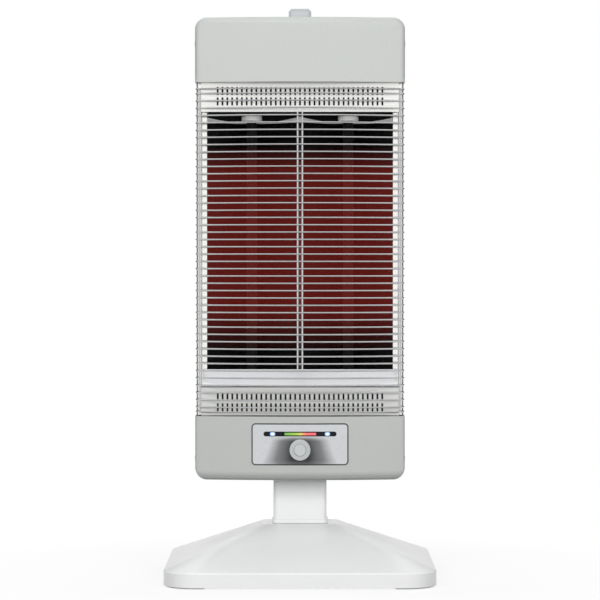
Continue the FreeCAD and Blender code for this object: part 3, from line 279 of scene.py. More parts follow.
def new_finish(name, roughness, metallic=0.0, coat=0.0):
    """Makes a material, kept in FINISHES by name, and returns its node tree and its shader."""
    finish = bpy.data.materials.new(name)
    FINISHES[name] = finish
    finish.use_nodes = True
    shader = finish.node_tree.nodes["Principled BSDF"]
    shader.inputs["Roughness"].default_value = roughness
    shader.inputs["Metallic"].default_value = metallic
    shader.inputs["Coat Weight"].default_value = coat
    shader.inputs["Coat Roughness"].default_value = COAT_ROUGHNESS
    return finish.node_tree, shader


def object_place(tree, stretch=(1, 1, 1), middle=(0, 0, 0)):
    """Object coordinates from a middle, stretched to draw a grain out along an axis."""
    place = tree.nodes.new("ShaderNodeTexCoord")
    mapping = tree.nodes.new("ShaderNodeMapping")
    mapping.inputs["Scale"].default_value = stretch
    mapping.inputs["Location"].default_value = [-m * s for m, s in zip(middle, stretch)]
    tree.links.new(place.outputs["Object"], mapping.inputs["Vector"])
    return mapping.outputs["Vector"]


def grain(tree, size, stretch=(1, 1, 1), detail=3):
    """Noise whose lumps are about one size across, in metres."""
    noise = tree.nodes.new("ShaderNodeTexNoise")
    noise.inputs["Scale"].default_value = 1 / size
    noise.inputs["Detail"].default_value = detail
    tree.links.new(object_place(tree, stretch), noise.inputs["Vector"])
    return noise.outputs["Fac"]


def ramp(tree, source, stops):
    """A colour ramp with (position, (r, g, b)) stops."""
    colours = tree.nodes.new("ShaderNodeValToRGB")
    elements = colours.color_ramp.elements
    while len(elements) < len(stops):
        elements.new(0.5)
    for element, (position, colour) in zip(elements, stops):
        element.position = position
        element.color = (*colour, 1)
    tree.links.new(source, colours.inputs["Fac"])
    return colours.outputs["Color"]


def spread(tree, source, low, high, start=0.3, end=0.7):
    """Maps a source onto a range of values."""
    scale = tree.nodes.new("ShaderNodeMapRange")
    scale.inputs["From Min"].default_value = start
    scale.inputs["From Max"].default_value = end
    scale.inputs["To Min"].default_value = low
    scale.inputs["To Max"].default_value = high
    tree.links.new(source, scale.inputs["Value"])
    return scale.outputs["Result"]


def roughen(tree, shader, source, low, high):
    """Lets the roughness follow a noise between two values."""
    tree.links.new(spread(tree, source, low, high), shader.inputs["Roughness"])


def raise_bump(tree, shader, source, depth, strength):
    """A fine relief of the given depth, in metres."""
    relief = tree.nodes.new("ShaderNodeBump")
    relief.inputs["Strength"].default_value = strength
    relief.inputs["Distance"].default_value = depth
    tree.links.new(source, relief.inputs["Height"])
    tree.links.new(relief.outputs["Normal"], shader.inputs["Normal"])


def tint(tree, shader, source, dark, light):
    """Lets the colour drift between two near shades."""
    colour = ramp(tree, source, [(0.3, dark), (0.7, light)])
    tree.links.new(colour, shader.inputs["Base Color"])


def part_of(tree, axis):
    """One of the Object coordinates."""
    split = tree.nodes.new("ShaderNodeSeparateXYZ")
    tree.links.new(object_place(tree), split.inputs["Vector"])
    return split.outputs[axis]


def lay_over(tree, under, over, share=None, blend="MIX"):
    """Lays a fixed colour or a source over another one, where the share says so."""
    layer = tree.nodes.new("ShaderNodeMix")
    layer.data_type = "RGBA"
    layer.blend_type = blend
    tree.links.new(under, layer.inputs["A"])
    if isinstance(over, tuple):
        layer.inputs["B"].default_value = (*over, 1)
    else:
        tree.links.new(over, layer.inputs["B"])
    if share is None:
        layer.inputs["Factor"].default_value = 1.0
    else:
        tree.links.new(share, layer.inputs["Factor"])
    return layer.outputs["Result"]


print("finish helpers ready")

# %% [markdown]
# ## Paint and plastic
#
# The stand is glossy white moulding: its colour drifts very little, and what makes it read
# as plastic is a faint waviness in the gloss. The head is sheet steel in silver-grey paint
# with fine metal flakes. Its bottom roll faces down, away from the light, and is darker there:
# that is painted shade, the paint's colour darkening over the lowest part of the lower panel.
# The photograph shows its bottom roll darker. Why is a guess: here the paint itself is darker
# there, as if it had been sprayed from the front and were thin below.

# %% White moulding
tree, shader = new_finish("white_shell", 0.3, coat=0.25)
drift = grain(tree, 0.05)
tint(tree, shader, drift, (0.83, 0.84, 0.835), (0.855, 0.865, 0.86))
roughen(tree, shader, grain(tree, 0.02), 0.30, 0.38)
raise_bump(tree, shader, grain(tree, 0.012, detail=1), 0.00004, 0.15)
print("white moulding ready")

# %% Silver paint
ROLL_SHADE_LEVEL = 0.52
ROLL_HEIGHT = 0.011

tree, shader = new_finish("silver_paint", 0.4, metallic=0.35)
shader.inputs["Specular IOR Level"].default_value = 0.25
flakes = grain(tree, 0.00055, detail=1)
paint = ramp(tree, flakes, [(0.3, (0.51, 0.528, 0.51)), (0.7, (0.575, 0.594, 0.575))])
# Painted shade on the bottom roll: over its lowest 11 mm the paint's colour darkens to about
# half
edge_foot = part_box("lower_panel")[0].z
edge_top = edge_foot + ROLL_HEIGHT
roll_shade = spread(tree, part_of(tree, "Z"), ROLL_SHADE_LEVEL, 1.0, edge_foot, edge_top)
shaded_paint = lay_over(tree, paint, roll_shade, blend="MULTIPLY")
tree.links.new(shaded_paint, shader.inputs["Base Color"])
roughen(tree, shader, flakes, 0.32, 0.42)
raise_bump(tree, shader, grain(tree, 0.008, detail=1), 0.00003, 0.15)
print("silver paint, darker below", round(edge_top, 4))

# %% Grey and black plastics, rubber
tree, shader = new_finish("grey_plastic", 0.45)
tint(tree, shader, grain(tree, 0.02), (0.42, 0.435, 0.45), (0.47, 0.485, 0.50))
raise_bump(tree, shader, grain(tree, 0.0006), 0.00004, 0.35)

tree, shader = new_finish("dark_plastic", 0.5)
tint(tree, shader, grain(tree, 0.01), (0.02, 0.02, 0.022), (0.032, 0.032, 0.035))
raise_bump(tree, shader, grain(tree, 0.0005), 0.00004, 0.4)

tree, shader = new_finish("rubber_pad", 0.8)
tint(tree, shader, grain(tree, 0.004), (0.64, 0.645, 0.64), (0.72, 0.725, 0.72))
raise_bump(tree, shader, grain(tree, 0.0008), 0.00008, 0.6)
print("plastics and rubber ready")

# %% [markdown]
# ## Bright metals
#
# The reflectors are bright-rolled aluminium: a mirror with faint lines along the roll. The
# photograph shows a light strip along its top edge, which is taken for satin sheet. The sheets
# round the mirror are lacquered aluminium, each with its own gloss. Painted shadow lines run
# where the lower plate meets the sill and the lower panel: the CAD pieces leave no dark gap
# there, so the shade of those gaps is painted into the plate's finish. The guard is chromed
# wire. Hidden sheets are zinc plated, which shows as dull spangles.

# %% Polished aluminium
SATIN_HEIGHT = 0.0066
SATIN_FADE = 0.0004
SATIN_ROUGHNESS = 0.5
SATIN_METAL = 0.1

tree, shader = new_finish("mirror_finish", 0.1, metallic=1.0)
rolled = grain(tree, 0.004, stretch=(1, 1, 0.02))
tint(tree, shader, rolled, (0.84, 0.85, 0.86), (0.90, 0.905, 0.91))
satin_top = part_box("mirror")[1].z - SATIN_HEIGHT
satin_foot = satin_top - SATIN_FADE
level = part_of(tree, "Z")
bright = spread(tree, rolled, 0.03, 0.06)
satin = spread(tree, level, 0, SATIN_ROUGHNESS, satin_foot, satin_top)
tree.links.new(combine(tree, "MAXIMUM", bright, satin), shader.inputs["Roughness"])
bare_metal = spread(tree, level, 1, SATIN_METAL, satin_foot, satin_top)
tree.links.new(bare_metal, shader.inputs["Metallic"])
print("satin strip above", round(satin_top, 4))

# %% Sheets round the mirror


def rolled_sheet(name, dark, light, metal, smooth, rough):
    """Lacquered aluminium with soft streaks along X, from one shade and gloss to another."""
    tree, shader = new_finish(name, rough, metallic=metal)
    streaks = grain(tree, 0.006, stretch=(0.05, 1, 1), detail=1)
    tint(tree, shader, streaks, dark, light)
    roughen(tree, shader, streaks, smooth, rough)


rolled_sheet(
    "upper_satin", (0.85, 0.85, 0.825), (0.91, 0.91, 0.885), 0.8, 0.20, 0.28)
rolled_sheet(
    "lower_satin", (0.70, 0.705, 0.685), (0.77, 0.775, 0.755), 0.5, 0.24, 0.32)
rolled_sheet(
    "sill_bright", (0.88, 0.90, 0.93), (0.92, 0.93, 0.95), 0.2, 0.14, 0.20)
rolled_sheet(
    "wing_bright", (0.93, 0.92, 0.89), (0.97, 0.96, 0.93), 1.0, 0.14, 0.20)
print("satin plates, bright sill and wings ready")

# %% Painted shadow lines of the lower plate
# Painted shadow: one dark line runs under the sill, which stands on the upper edge of the lower
# plate, and another runs along the lower panel, where the plate goes down behind the panel's
# edge.
SHADOW_LINE_HEIGHT = 0.0009
SHADOW_LINE_FADE = 0.0003
SLOT_RISE = 0.0002
SHADOW_LINE_DARK = (0.05, 0.05, 0.05)

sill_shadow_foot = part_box("lower_grate")[1].z - SHADOW_LINE_HEIGHT
slot_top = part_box("lower_panel")[1].z + SLOT_RISE
tree = FINISHES["lower_satin"].node_tree
shader = tree.nodes["Principled BSDF"]
level = part_of(tree, "Z")
# Painted shadow: the plate turns dark in a thin band under the sill and just above the lower
# panel
sill_shadow_line = spread(tree, level, 0, 1, sill_shadow_foot - SHADOW_LINE_FADE, sill_shadow_foot)
slot_shadow_line = spread(tree, level, 1, 0, slot_top, slot_top + SHADOW_LINE_FADE)
shadow_lines = combine(tree, "MAXIMUM", sill_shadow_line, slot_shadow_line)
plain = shader.inputs["Base Color"].links[0].from_socket
tree.links.new(lay_over(tree, plain, SHADOW_LINE_DARK, shadow_lines), shader.inputs["Base Color"])
print("joints at", round(sill_shadow_foot, 4), "and", round(slot_top, 4))

# %% Chrome wire
tree, shader = new_finish("guard_chrome", 0.12, metallic=1.0)
tint(tree, shader, grain(tree, 0.003), (0.57, 0.58, 0.585), (0.65, 0.66, 0.665))
roughen(tree, shader, grain(tree, 0.0012), 0.05, 0.10)
print("chrome ready")

# %% Heat-proof black
# The frame behind the mirror and its brackets are painted black against the heat.
tree, shader = new_finish("chassis_black", 0.6)
shader.inputs["Specular IOR Level"].default_value = 0.2
tint(tree, shader, grain(tree, 0.003), (0.012, 0.012, 0.012), (0.022, 0.022, 0.022))
raise_bump(tree, shader, grain(tree, 0.001), 0.00005, 0.4)
print("heat-proof black ready")

# %% Zinc, screws and brass
SPANGLES_PER_METRE = 120

tree, shader = new_finish("steel_plate", 0.4, metallic=1.0)
spangle = tree.nodes.new("ShaderNodeTexVoronoi")
spangle.inputs["Scale"].default_value = SPANGLES_PER_METRE
tree.links.new(object_place(tree), spangle.inputs["Vector"])
tint(tree, shader, spangle.outputs["Distance"], (0.52, 0.53, 0.55), (0.64, 0.65, 0.66))
roughen(tree, shader, grain(tree, 0.003), 0.32, 0.5)

tree, shader = new_finish("zinc_screw", 0.3, metallic=1.0)
tint(tree, shader, grain(tree, 0.0015), (0.6, 0.61, 0.62), (0.72, 0.73, 0.74))
roughen(tree, shader, grain(tree, 0.0006), 0.22, 0.38)

tree, shader = new_finish("brass", 0.3, metallic=1.0)
tint(tree, shader, grain(tree, 0.002), (0.16, 0.12, 0.06), (0.22, 0.17, 0.09))
roughen(tree, shader, grain(tree, 0.001), 0.22, 0.4)
print("zinc, screws and brass ready")

# %% [markdown]
# ## The heater rods
#
# The rods are black coated tubes. In use their middle glows a dull red, and the ends, which
# sit in ceramic collars, stay dark. The glow is an emission that follows the height along
# the rod; the mirror behind then fills with red by itself, because each rod stands in the
# focus of its trough.

# %% Heater rods and collars
GLOW_LOW = 0.270
GLOW_HIGH = 0.520
GLOW_FOOT = 0.050
GLOW_EDGE = 0.030

tree, shader = new_finish("heater_black", 0.7)
shader.inputs["Specular IOR Level"].default_value = 0.12
tint(tree, shader, grain(tree, 0.002), (0.004, 0.004, 0.004), (0.008, 0.008, 0.008))
raise_bump(tree, shader, grain(tree, 0.0007), 0.00005, 0.4)
height = part_of(tree, "Z")
rise = spread(tree, height, 0, 1, GLOW_LOW, GLOW_LOW + GLOW_FOOT)
fall = spread(tree, height, 1, 0, GLOW_HIGH - GLOW_EDGE, GLOW_HIGH)
hot = combine(tree, "MULTIPLY", rise, fall)
dull_red = [(0.0, (0, 0, 0)), (0.5, (0.04, 0.004, 0.003)), (1.0, (0.105, 0.007, 0.005))]
glow_colour = ramp(tree, hot, dull_red)
tree.links.new(glow_colour, shader.inputs["Emission Color"])
shader.inputs["Emission Strength"].default_value = 1.0

tree, shader = new_finish("ceramic", 0.25, coat=0.3)
tint(tree, shader, grain(tree, 0.004), (0.84, 0.84, 0.82), (0.90, 0.90, 0.88))
raise_bump(tree, shader, grain(tree, 0.001), 0.00004, 0.3)
print("rods glow between", GLOW_LOW, "and", GLOW_HIGH, "m")

# %% [markdown]
# ## Controls
#
# The control plate is brushed metal with a fine grain along X. Its colour darkens in a cloud
# round the dial, wider at the foot than under the display, and a thin dark line frames the
# plate.
# The display is a black strip with two lit lamps and a bar that runs from green to red.

# %% Control plate
GASKET_WIDTH = 0.9 * MM
CLOUD_HALF = 0.042
CLOUD_CORE = 0.010
CLOUD_EDGE = 0.006
CLOUD_FOOT = 0.9
CLOUD_NECK = 1.25
FOOT_SHADE = 0.7
CLOUD_SHADES = [
    (0.0, (0.70, 0.715, 0.735)), (0.45, (0.24, 0.245, 0.25)), (1.0, (0.055, 0.055, 0.06))]

gasket_low, gasket_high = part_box("panel_gasket")
inwards = Vector((GASKET_WIDTH, 0, GASKET_WIDTH))
plate_low, plate_high = gasket_low + inwards, gasket_high - inwards
dial_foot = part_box("dial")[0].z
display_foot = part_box("display_strip")[0].z

tree, shader = new_finish("control_face", 0.34, metallic=0.3)
lines = grain(tree, 0.0004, stretch=(0.02, 1, 1), detail=2)
level = part_of(tree, "Z")
narrowing = spread(tree, level, CLOUD_FOOT, CLOUD_NECK, plate_low.z, display_foot)
aside = combine(tree, "ABSOLUTE", part_of(tree, "X"))
flare = combine(tree, "MULTIPLY", aside, narrowing)
cloud_x = spread(tree, flare, 1, 0, CLOUD_CORE, CLOUD_HALF)
cloud_top = spread(tree, level, 1, 0, display_foot - CLOUD_EDGE, display_foot)
cloud_foot = spread(tree, level, FOOT_SHADE, 1, plate_low.z, dial_foot)
cloud_z = combine(tree, "MULTIPLY", cloud_top, cloud_foot)
shade = ramp(tree, combine(tree, "MULTIPLY", cloud_x, cloud_z), CLOUD_SHADES)
brushing = ramp(tree, lines, [(0.3, (0.88, 0.88, 0.88)), (0.7, (1, 1, 1))])
brushed = lay_over(tree, shade, brushing, blend="MULTIPLY")
roughen(tree, shader, lines, 0.28, 0.42)
print("cloud between", round(plate_low.z, 4), "and", round(display_foot, 4))

# %% Frame of the control plate
# How far a spot lies outside a smaller rectangle, corners included, picks out the frame
PLATE_CORNER = 0.004
FRAME_WIDTH = 0.0007
FRAME_DARK = (0.05, 0.05, 0.055)

plate_middle = (plate_low + plate_high) / 2
plate_half = (plate_high - plate_low) / 2
straight = Vector((plate_half.x - PLATE_CORNER, 0, plate_half.z - PLATE_CORNER))
outside = (
    ("MULTIPLY", (1, 0, 1)),
    ("ABSOLUTE", None),
    ("SUBTRACT", straight),
    ("MAXIMUM", (0, 0, 0)),
    ("LENGTH", None),
)
spot = object_place(tree, middle=(plate_middle.x, 0, plate_middle.z))
for operation, other in outside:
    step = tree.nodes.new("ShaderNodeVectorMath")
    step.operation = operation
    tree.links.new(spot, step.inputs[0])
    if other is not None:
        step.inputs[1].default_value = other
    spot = step.outputs["Value" if operation == "LENGTH" else "Vector"]
frame_inside = PLATE_CORNER - FRAME_WIDTH
edge = spread(tree, spot, 0, 1, frame_inside, frame_inside + FRAME_WIDTH / 2)
framed = lay_over(tree, brushed, FRAME_DARK, edge)
tree.links.new(framed, shader.inputs["Base Color"])
print("frame", FRAME_WIDTH / MM, "mm wide")

# %% Dial, display and board
tree, shader = new_finish("dial_silver", 0.36, metallic=0.55)
tint(tree, shader, grain(tree, 0.0005), (0.54, 0.565, 0.575), (0.68, 0.705, 0.715))
roughen(tree, shader, grain(tree, 0.0008), 0.3, 0.44)

tree, shader = new_finish("button_silver", 0.36, metallic=0.55)
tint(tree, shader, grain(tree, 0.0005), (0.62, 0.65, 0.66), (0.74, 0.77, 0.78))
roughen(tree, shader, grain(tree, 0.0008), 0.3, 0.44)

tree, shader = new_finish("display_black", 0.3)
shader.inputs["Specular IOR Level"].default_value = 0.15
tint(tree, shader, grain(tree, 0.003), (0.008, 0.008, 0.012), (0.016, 0.016, 0.022))

tree, shader = new_finish("board_green", 0.4)
tint(tree, shader, grain(tree, 0.002), (0.02, 0.10, 0.04), (0.03, 0.16, 0.06))
raise_bump(tree, shader, grain(tree, 0.0015), 0.00005, 0.5)
print("dial, button, display and board ready")

# %% Lamps of the display
LAMP_STRENGTH = 0.5
LENS_OFFSET = 0.0327
LENS_HALF = 0.0032
BARS = {
    "lamp_green": ("level_bar_green", [
        (0.0, (0.11, 0.33, 0.06)), (0.6, (0.25, 0.42, 0.06)), (1.0, (0.50, 0.46, 0.10))]),
    "lamp_red": ("level_bar_red", [
        (0.0, (0.62, 0.30, 0.14)), (0.3, (0.75, 0.13, 0.12)), (1.0, (0.72, 0.12, 0.14))]),
}
LENS_BLUES = [(0.0, (0.80, 0.92, 1.0)), (0.6, (0.40, 0.63, 1.0)), (1.0, (0.05, 0.13, 0.34))]


def light_up(tree, shader, source, stops):
    """A lit lens whose colour follows a source."""
    colour = ramp(tree, source, stops)
    tree.links.new(colour, shader.inputs["Emission Color"])
    tree.links.new(colour, shader.inputs["Base Color"])
    shader.inputs["Emission Strength"].default_value = LAMP_STRENGTH


for name, (bar, stops) in BARS.items():
    bar_low, bar_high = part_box(bar)
    tree, shader = new_finish(name, 0.3)
    along = spread(tree, part_of(tree, "X"), 0, 1, bar_low.x, bar_high.x)
    light_up(tree, shader, along, stops)

# Both lenses share one finish, which is brightest in the middle of each
tree, shader = new_finish("lamp_blue", 0.2)
aside = combine(tree, "ABSOLUTE", part_of(tree, "X"))
off_lens = combine(tree, "ABSOLUTE", combine(tree, "SUBTRACT", aside, LENS_OFFSET))
light_up(tree, shader, spread(tree, off_lens, 0, 1, 0.0, LENS_HALF), LENS_BLUES)
print("display lit")

# %% [markdown]
# ## Giving each node its finish
#
# The record names a material slot for every CAD node. The finishes above carry the same
# names, so one loop paints all nodes. A few nodes share a slot in the record but look
# different in the photograph; they get the finish that is named for them here.

# %% Paint the nodes
OTHER_FINISH = {
    "upper_grate": "upper_satin",
    "lower_grate": "lower_satin",
    "sill_reflector": "sill_bright",
    "push_button": "button_silver",
    "chassis": "chassis_black",
    "heat_shield": "chassis_black",
    "upper_bracket": "chassis_black",
    "lower_bracket": "chassis_black",
}
slot_of = {row["node"]: row["material_slot"] for row in record["subparts"]}
for name, node in nodes.items():
    node.data.materials.clear()
    node.data.materials.append(FINISHES[OTHER_FINISH.get(name, slot_of[name])])
print(len(nodes), "nodes painted")

# %% [markdown]
# ## Picking things up
#
# An operator acts on all that is selected, so every new piece starts with nothing selected.
# The steps that return with several pieces are small functions: selecting one piece, pulling
# out an edge, giving a sheet its thickness, and turning the faces outwards.

# %% Modelling helpers
SHEET_SMOOTH = math.radians(30)


def deselect_all():
    """Ends in object mode with nothing selected."""
    if bpy.context.mode != "OBJECT":
        bpy.ops.object.mode_set(mode="OBJECT")
    bpy.ops.object.select_all(action="DESELECT")


def take_up(thing):
    """Makes one object the selected and active one."""
    deselect_all()
    thing.select_set(True)
    bpy.context.view_layer.objects.active = thing


def pull(x=0, y=0):
    """Extrudes what is selected in edit mode."""
    bpy.ops.mesh.extrude_region_move(TRANSFORM_OT_translate={"value": (x, y, 0)})


def thicken(thing, thickness):
    """Gives a sheet its thickness, behind its face."""
    sheet = thing.modifiers.new("sheet", "SOLIDIFY")
    sheet.thickness = thickness
    sheet.offset = -1
    take_up(thing)
    bpy.ops.object.modifier_apply(modifier="sheet")


def face_out(thing):
    """Turns all faces of a closed piece outwards."""
    take_up(thing)
    bpy.ops.object.mode_set(mode="EDIT")
    bpy.ops.mesh.select_all(action="SELECT")
    bpy.ops.mesh.normals_make_consistent(inside=False)
    bpy.ops.object.mode_set(mode="OBJECT")


deselect_all()
print("nothing selected")

# %% [markdown]
# ## The double trough
#
# The mirror is one bright sheet pressed into two parabolas that meet in a sharp ridge. A
# mirror shows every fault in its shape, so the sheet is a fine grid whose columns are set back
# along the true curve. Its top edge drops towards the back, as in the photograph. Solidify
# gives the sheet its thickness behind the bright face.

# %% Mirror
MIDDLE_STRIP = 0.03 * MM
OUTER_EDGE = 0.5 * MM
MIRROR_SHEET = 1.6 * MM
TOP_DROP = 6.0 * MM
TROUGH_STEPS = 90

mirror_low, mirror_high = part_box("mirror")
trough_half = (mirror_high.x - MIDDLE_STRIP - OUTER_EDGE) / 2
trough_middle = MIDDLE_STRIP + trough_half
trough_depth = mirror_high.y - mirror_low.y - MIRROR_SHEET


def trough_back(x):
    """How deep the mirror lies at x, behind its front edge."""
    share = (abs(x) - trough_middle) / trough_half
    return trough_depth * max(0.0, 1 - share * share)


trough_step = 2 * trough_half / TROUGH_STEPS
right_half = [MIDDLE_STRIP + trough_step * step for step in range(TROUGH_STEPS + 1)]
right_half.append(mirror_high.x)
columns = [-x for x in reversed(right_half)] + right_half
last = len(columns) - 1
deselect_all()
bpy.ops.mesh.primitive_grid_add(x_subdivisions=last, y_subdivisions=2, size=1)
troughs = bpy.context.object
troughs.name = "mirror_troughs"
for point in troughs.data.vertices:
    x, up = columns[round((point.co.x + 0.5) * last)], point.co.y + 0.5
    back = trough_back(x)
    top = mirror_high.z - TOP_DROP * back / trough_depth
    point.co = (x, mirror_low.y + back, mirror_low.z + up * (top - mirror_low.z))
thicken(troughs, MIRROR_SHEET)
bpy.ops.object.shade_smooth_by_angle(angle=SHEET_SMOOTH)
troughs.data.materials.append(FINISHES["mirror_finish"])
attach(troughs, "head")
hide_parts("mirror")
print("mirror:", len(troughs.data.polygons), "faces")

# %% [markdown]
# ## The side wings
#
# A bright strip covers each edge of the mirror and folds back along the side to the rear
# cover, so that the guard's side runs pass over a bright wall and not over the dark inside.
# It runs on past the mirror, up into the hood and down into the lower panel, and leaves no
# slot beside the perforated plates. One wing starts as a long plane that is cut at the ends of
# the mirror. Its inner edge is extruded inwards between the cuts, and forward to the
# perforated plates beyond them; its outer edge is extruded back into the side wall. The long
# fold is beveled into a bend, and Solidify gives the sheet. The other wing is its mirror image.

# %% Wings
WING_REACH = 123.0 * MM
WING_STEP = 117.75 * MM
WING_TUCK = 9.0 * MM
WING_TOP_GAP = 1.0 * MM
SHEET_GAP = 0.2 * MM
WING_WALL = 27.0 * MM
WING_BEND = 1.6 * MM
BEND_STEPS = 4
NEAR = 1.0 * MM

wing_low, wing_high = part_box("side_wing_right")
wing_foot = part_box("lower_panel")[1].z - WING_TUCK
wing_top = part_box("upper_grate")[1].z - WING_TOP_GAP
wing_wide, wing_tall = WING_REACH - WING_STEP, wing_top - wing_foot
wing_middle = (WING_STEP + wing_wide / 2, wing_low.y, wing_foot + wing_tall / 2)
upright = (math.pi / 2, 0, 0)
deselect_all()
bpy.ops.mesh.primitive_plane_add(size=1, location=wing_middle, rotation=upright)
right_wing = bpy.context.object
right_wing.name = "folded_wing_right"
right_wing.scale = (wing_wide, wing_tall, 1)
bpy.ops.object.transform_apply(location=True, rotation=True, scale=True)


def pick_edge(thing, test):
    """Selects the vertices that pass a test, and the edges between them, in edit mode."""
    bpy.ops.object.mode_set(mode="EDIT")
    bpy.ops.mesh.select_mode(type="VERT")
    bpy.ops.mesh.select_all(action="DESELECT")
    bpy.ops.object.mode_set(mode="OBJECT")
    for vertex in thing.data.vertices:
        vertex.select = test(vertex.co)
    bpy.ops.object.mode_set(mode="EDIT")
    bpy.ops.mesh.select_mode(type="EDGE")


def at_step(spot):
    """Whether a spot lies on the line from which the wing goes inwards or forward."""
    return abs(spot.x - WING_STEP) < NEAR


def at_reach(spot):
    """Whether a spot lies on the wing's outer line."""
    return spot.x > WING_REACH - NEAR


def beside_mirror(spot):
    """Whether a spot lies between the ends of the mirror, or at one of them."""
    return wing_low.z - NEAR < spot.z < wing_high.z + NEAR


bpy.ops.object.mode_set(mode="EDIT")
for level in (wing_low.z, wing_high.z):
    bpy.ops.mesh.select_all(action="SELECT")
    bpy.ops.mesh.bisect(plane_co=(0, 0, level), plane_no=(0, 0, 1))
pick_edge(right_wing, lambda spot: at_step(spot) and beside_mirror(spot))
pull(x=wing_low.x - WING_STEP)
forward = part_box("lower_grate")[1].y + SHEET_GAP - wing_low.y
pick_edge(right_wing, lambda spot: at_step(spot) and spot.z < wing_low.z + NEAR)
pull(y=forward)
pick_edge(right_wing, lambda spot: at_step(spot) and spot.z > wing_high.z - NEAR)
pull(y=forward)
for level in (wing_foot, wing_top):
    pick_edge(right_wing, lambda spot: abs(spot.z - level) < NEAR and spot.y > wing_low.y - NEAR)
    pull(y=forward)
bpy.ops.mesh.select_all(action="SELECT")
bpy.ops.mesh.remove_doubles(threshold=SHEET_GAP / 4)
pick_edge(right_wing, lambda spot: at_reach(spot) and spot.y > wing_low.y - NEAR)
pull(y=WING_WALL)
pick_edge(right_wing, lambda spot: at_reach(spot) and abs(spot.y - wing_low.y) < NEAR)
bpy.ops.mesh.bevel(offset=WING_BEND, segments=BEND_STEPS, affect="EDGES")
bpy.ops.mesh.select_all(action="SELECT")
bpy.ops.mesh.normals_make_consistent(inside=True)
bpy.ops.object.mode_set(mode="OBJECT")
facing = sum(face.normal.y * face.area for face in right_wing.data.polygons)
print("wing faces the front:", facing < 0)

# %% Both wings
thicken(right_wing, wing_high.y - wing_low.y)
bpy.ops.object.shade_smooth_by_angle(angle=SHEET_SMOOTH)
right_wing.data.materials.append(FINISHES["wing_bright"])
bpy.ops.object.duplicate(linked=False)
left_wing = bpy.context.object
left_wing.name = "folded_wing_left"
left_wing.scale.x = -1
bpy.ops.object.transform_apply(scale=True)
face_out(left_wing)
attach(right_wing, "head")
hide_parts("side_wing_right")
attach(left_wing, "head")
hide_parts("side_wing_left")
print("wings:", len(right_wing.data.polygons), "faces each")

# %% [markdown]
# ## Shelves behind the front plates
#
# The CAD hood and lower panel are open towards the window. The photograph doesn't show what is
# there. On heaters of this kind the edges are turned in up to the perforated plates, so that
# nothing falls inside and no wiring shows, and so it is done here. A shelf is a grid one cell
# deep whose front row is set along the bow of the case.

# %% Shelves
CASE_BULGE = 8.5 * MM
BULGE_REACH = 100.0 * MM
CASE_SHEET = 1.2 * MM
SHELF_SINK = 3.0 * MM
SHELF_SHEET = 1.0 * MM
SHELF_STEPS = 24

panel_low, panel_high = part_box("lower_panel")
case_bow = (BULGE_REACH ** 2 + CASE_BULGE ** 2) / (2 * CASE_BULGE)
shelf_half = panel_high.x - CASE_SHEET / 2
shelf_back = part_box("lower_grate")[0].y - SHEET_GAP / 2


def shelf_front(x):
    """The middle of the case's front sheet at x."""
    return panel_low.y + CASE_SHEET / 2 + case_bow - math.sqrt(case_bow ** 2 - x ** 2)


def add_shelf(name, level):
    """Makes one shelf, from the case's front sheet back to the perforated plates."""
    deselect_all()
    bpy.ops.mesh.primitive_grid_add(x_subdivisions=SHELF_STEPS, y_subdivisions=1, size=1)
    shelf = bpy.context.object
    shelf.name = name
    for point in shelf.data.vertices:
        x = 2 * shelf_half * point.co.x
        point.co = (x, shelf_front(x) if point.co.y < 0 else shelf_back, level)
    thicken(shelf, SHELF_SHEET)
    shelf.data.materials.append(FINISHES["silver_paint"])
    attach(shelf, "head")


add_shelf("panel_shelf", panel_high.z - SHELF_SINK)
add_shelf("hood_shelf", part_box("upper_hood")[0].z + SHELF_SINK)
print("shelves", SHELF_SINK / MM, "mm behind the window's edges")

# %% [markdown]
# ## The wire guard
#
# Each guard wire is one round wire: a shallow bow across the front, a tight turn, and a
# straight run back along the side to the case. Half a wire is a circle that is spun round
# the bow's centre, spun once more round the corner, and extruded straight back. A mirror
# completes it and an array repeats it up the window.

# %% One wire
WIRE_RADIUS = 1.0 * MM
WIRE_SIDES = 10
WIRE_PITCH = 8.73 * MM
WIRE_COUNT = 44
END_STEP = 5.6 * MM
GUARD_BULGE = 15.5 * MM
GUARD_REACH = 107.0 * MM
TURN_RADIUS = 7.0 * MM
BOW_STEPS = 14
TURN_STEPS = 6

guard_low, guard_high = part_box("guard_wires")
bow_radius = (GUARD_REACH ** 2 + GUARD_BULGE ** 2) / (2 * GUARD_BULGE)
wire_front = guard_low.y + WIRE_RADIUS
wire_side = guard_high.x - WIRE_RADIUS
bow_centre = wire_front + bow_radius
# The corner's centre lies inside the bow, one turn radius from the bow and from the side run
corner_x = wire_side - TURN_RADIUS
corner_y = bow_centre - math.sqrt((bow_radius - TURN_RADIUS) ** 2 - corner_x ** 2)
bow_angle = math.asin(corner_x / (bow_radius - TURN_RADIUS))
first_level = guard_low.z + WIRE_RADIUS + END_STEP

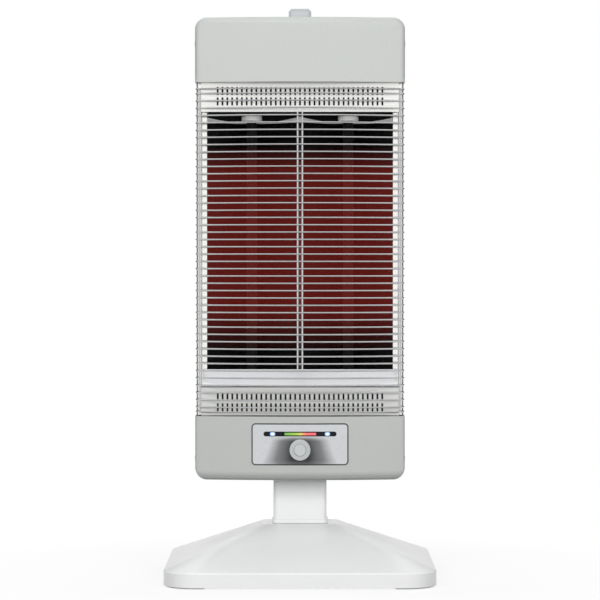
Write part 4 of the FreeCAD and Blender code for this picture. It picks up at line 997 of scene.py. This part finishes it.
wire_start = (0, wire_front, first_level)
across_x = (0, math.pi / 2, 0)
down = (0, 0, -1)
deselect_all()
bpy.ops.mesh.primitive_circle_add(
    vertices=WIRE_SIDES, radius=WIRE_RADIUS, location=wire_start, rotation=across_x)
wire = bpy.context.object
wire.name = "guard_wire"
bpy.ops.object.transform_apply(location=True, rotation=True)
bpy.ops.object.mode_set(mode="EDIT")
bpy.ops.mesh.select_all(action="SELECT")
bpy.ops.mesh.spin(
    steps=BOW_STEPS, angle=bow_angle, center=(0, bow_centre, first_level), axis=down)
bpy.ops.mesh.spin(
    steps=TURN_STEPS, angle=math.pi / 2 - bow_angle,
    center=(corner_x, corner_y, first_level), axis=down)
pull(y=guard_high.y - corner_y)
bpy.ops.mesh.edge_face_add()
bpy.ops.object.mode_set(mode="OBJECT")
ends = [max(v.co.y for v in wire.data.vertices), max(v.co.x for v in wire.data.vertices)]
print("half wire ends at y, x:", [round(e, 4) for e in ends])

# %% All wires
# The first and the last wire stand closer to their neighbours than the rows between them
MERGE_WITHIN = 0.1 * MM
WIRE_SMOOTH = math.radians(50)

mirrored = wire.modifiers.new("other_half", "MIRROR")
mirrored.merge_threshold = MERGE_WITHIN
rows = wire.modifiers.new("rows", "ARRAY")
rows.count = WIRE_COUNT
rows.use_relative_offset = False
rows.use_constant_offset = True
rows.constant_offset_displace = (0, 0, WIRE_PITCH)
take_up(wire)
bpy.ops.object.modifier_apply(modifier="other_half")
single = wire.data.copy()
bpy.ops.object.modifier_apply(modifier="rows")
for rise in (-END_STEP, (WIRE_COUNT - 1) * WIRE_PITCH + END_STEP):
    extra = bpy.data.objects.new("guard_end_wire", single.copy())
    bpy.context.scene.collection.objects.link(extra)
    extra.location.z = rise
    extra.select_set(True)
bpy.ops.object.join()
face_out(wire)
bpy.ops.object.shade_smooth_by_angle(angle=WIRE_SMOOTH)
wire.data.materials.append(FINISHES["guard_chrome"])
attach(wire, "head")
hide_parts("guard_wires")
print("guard:", WIRE_COUNT + 2, "wires,", len(wire.data.polygons), "faces")
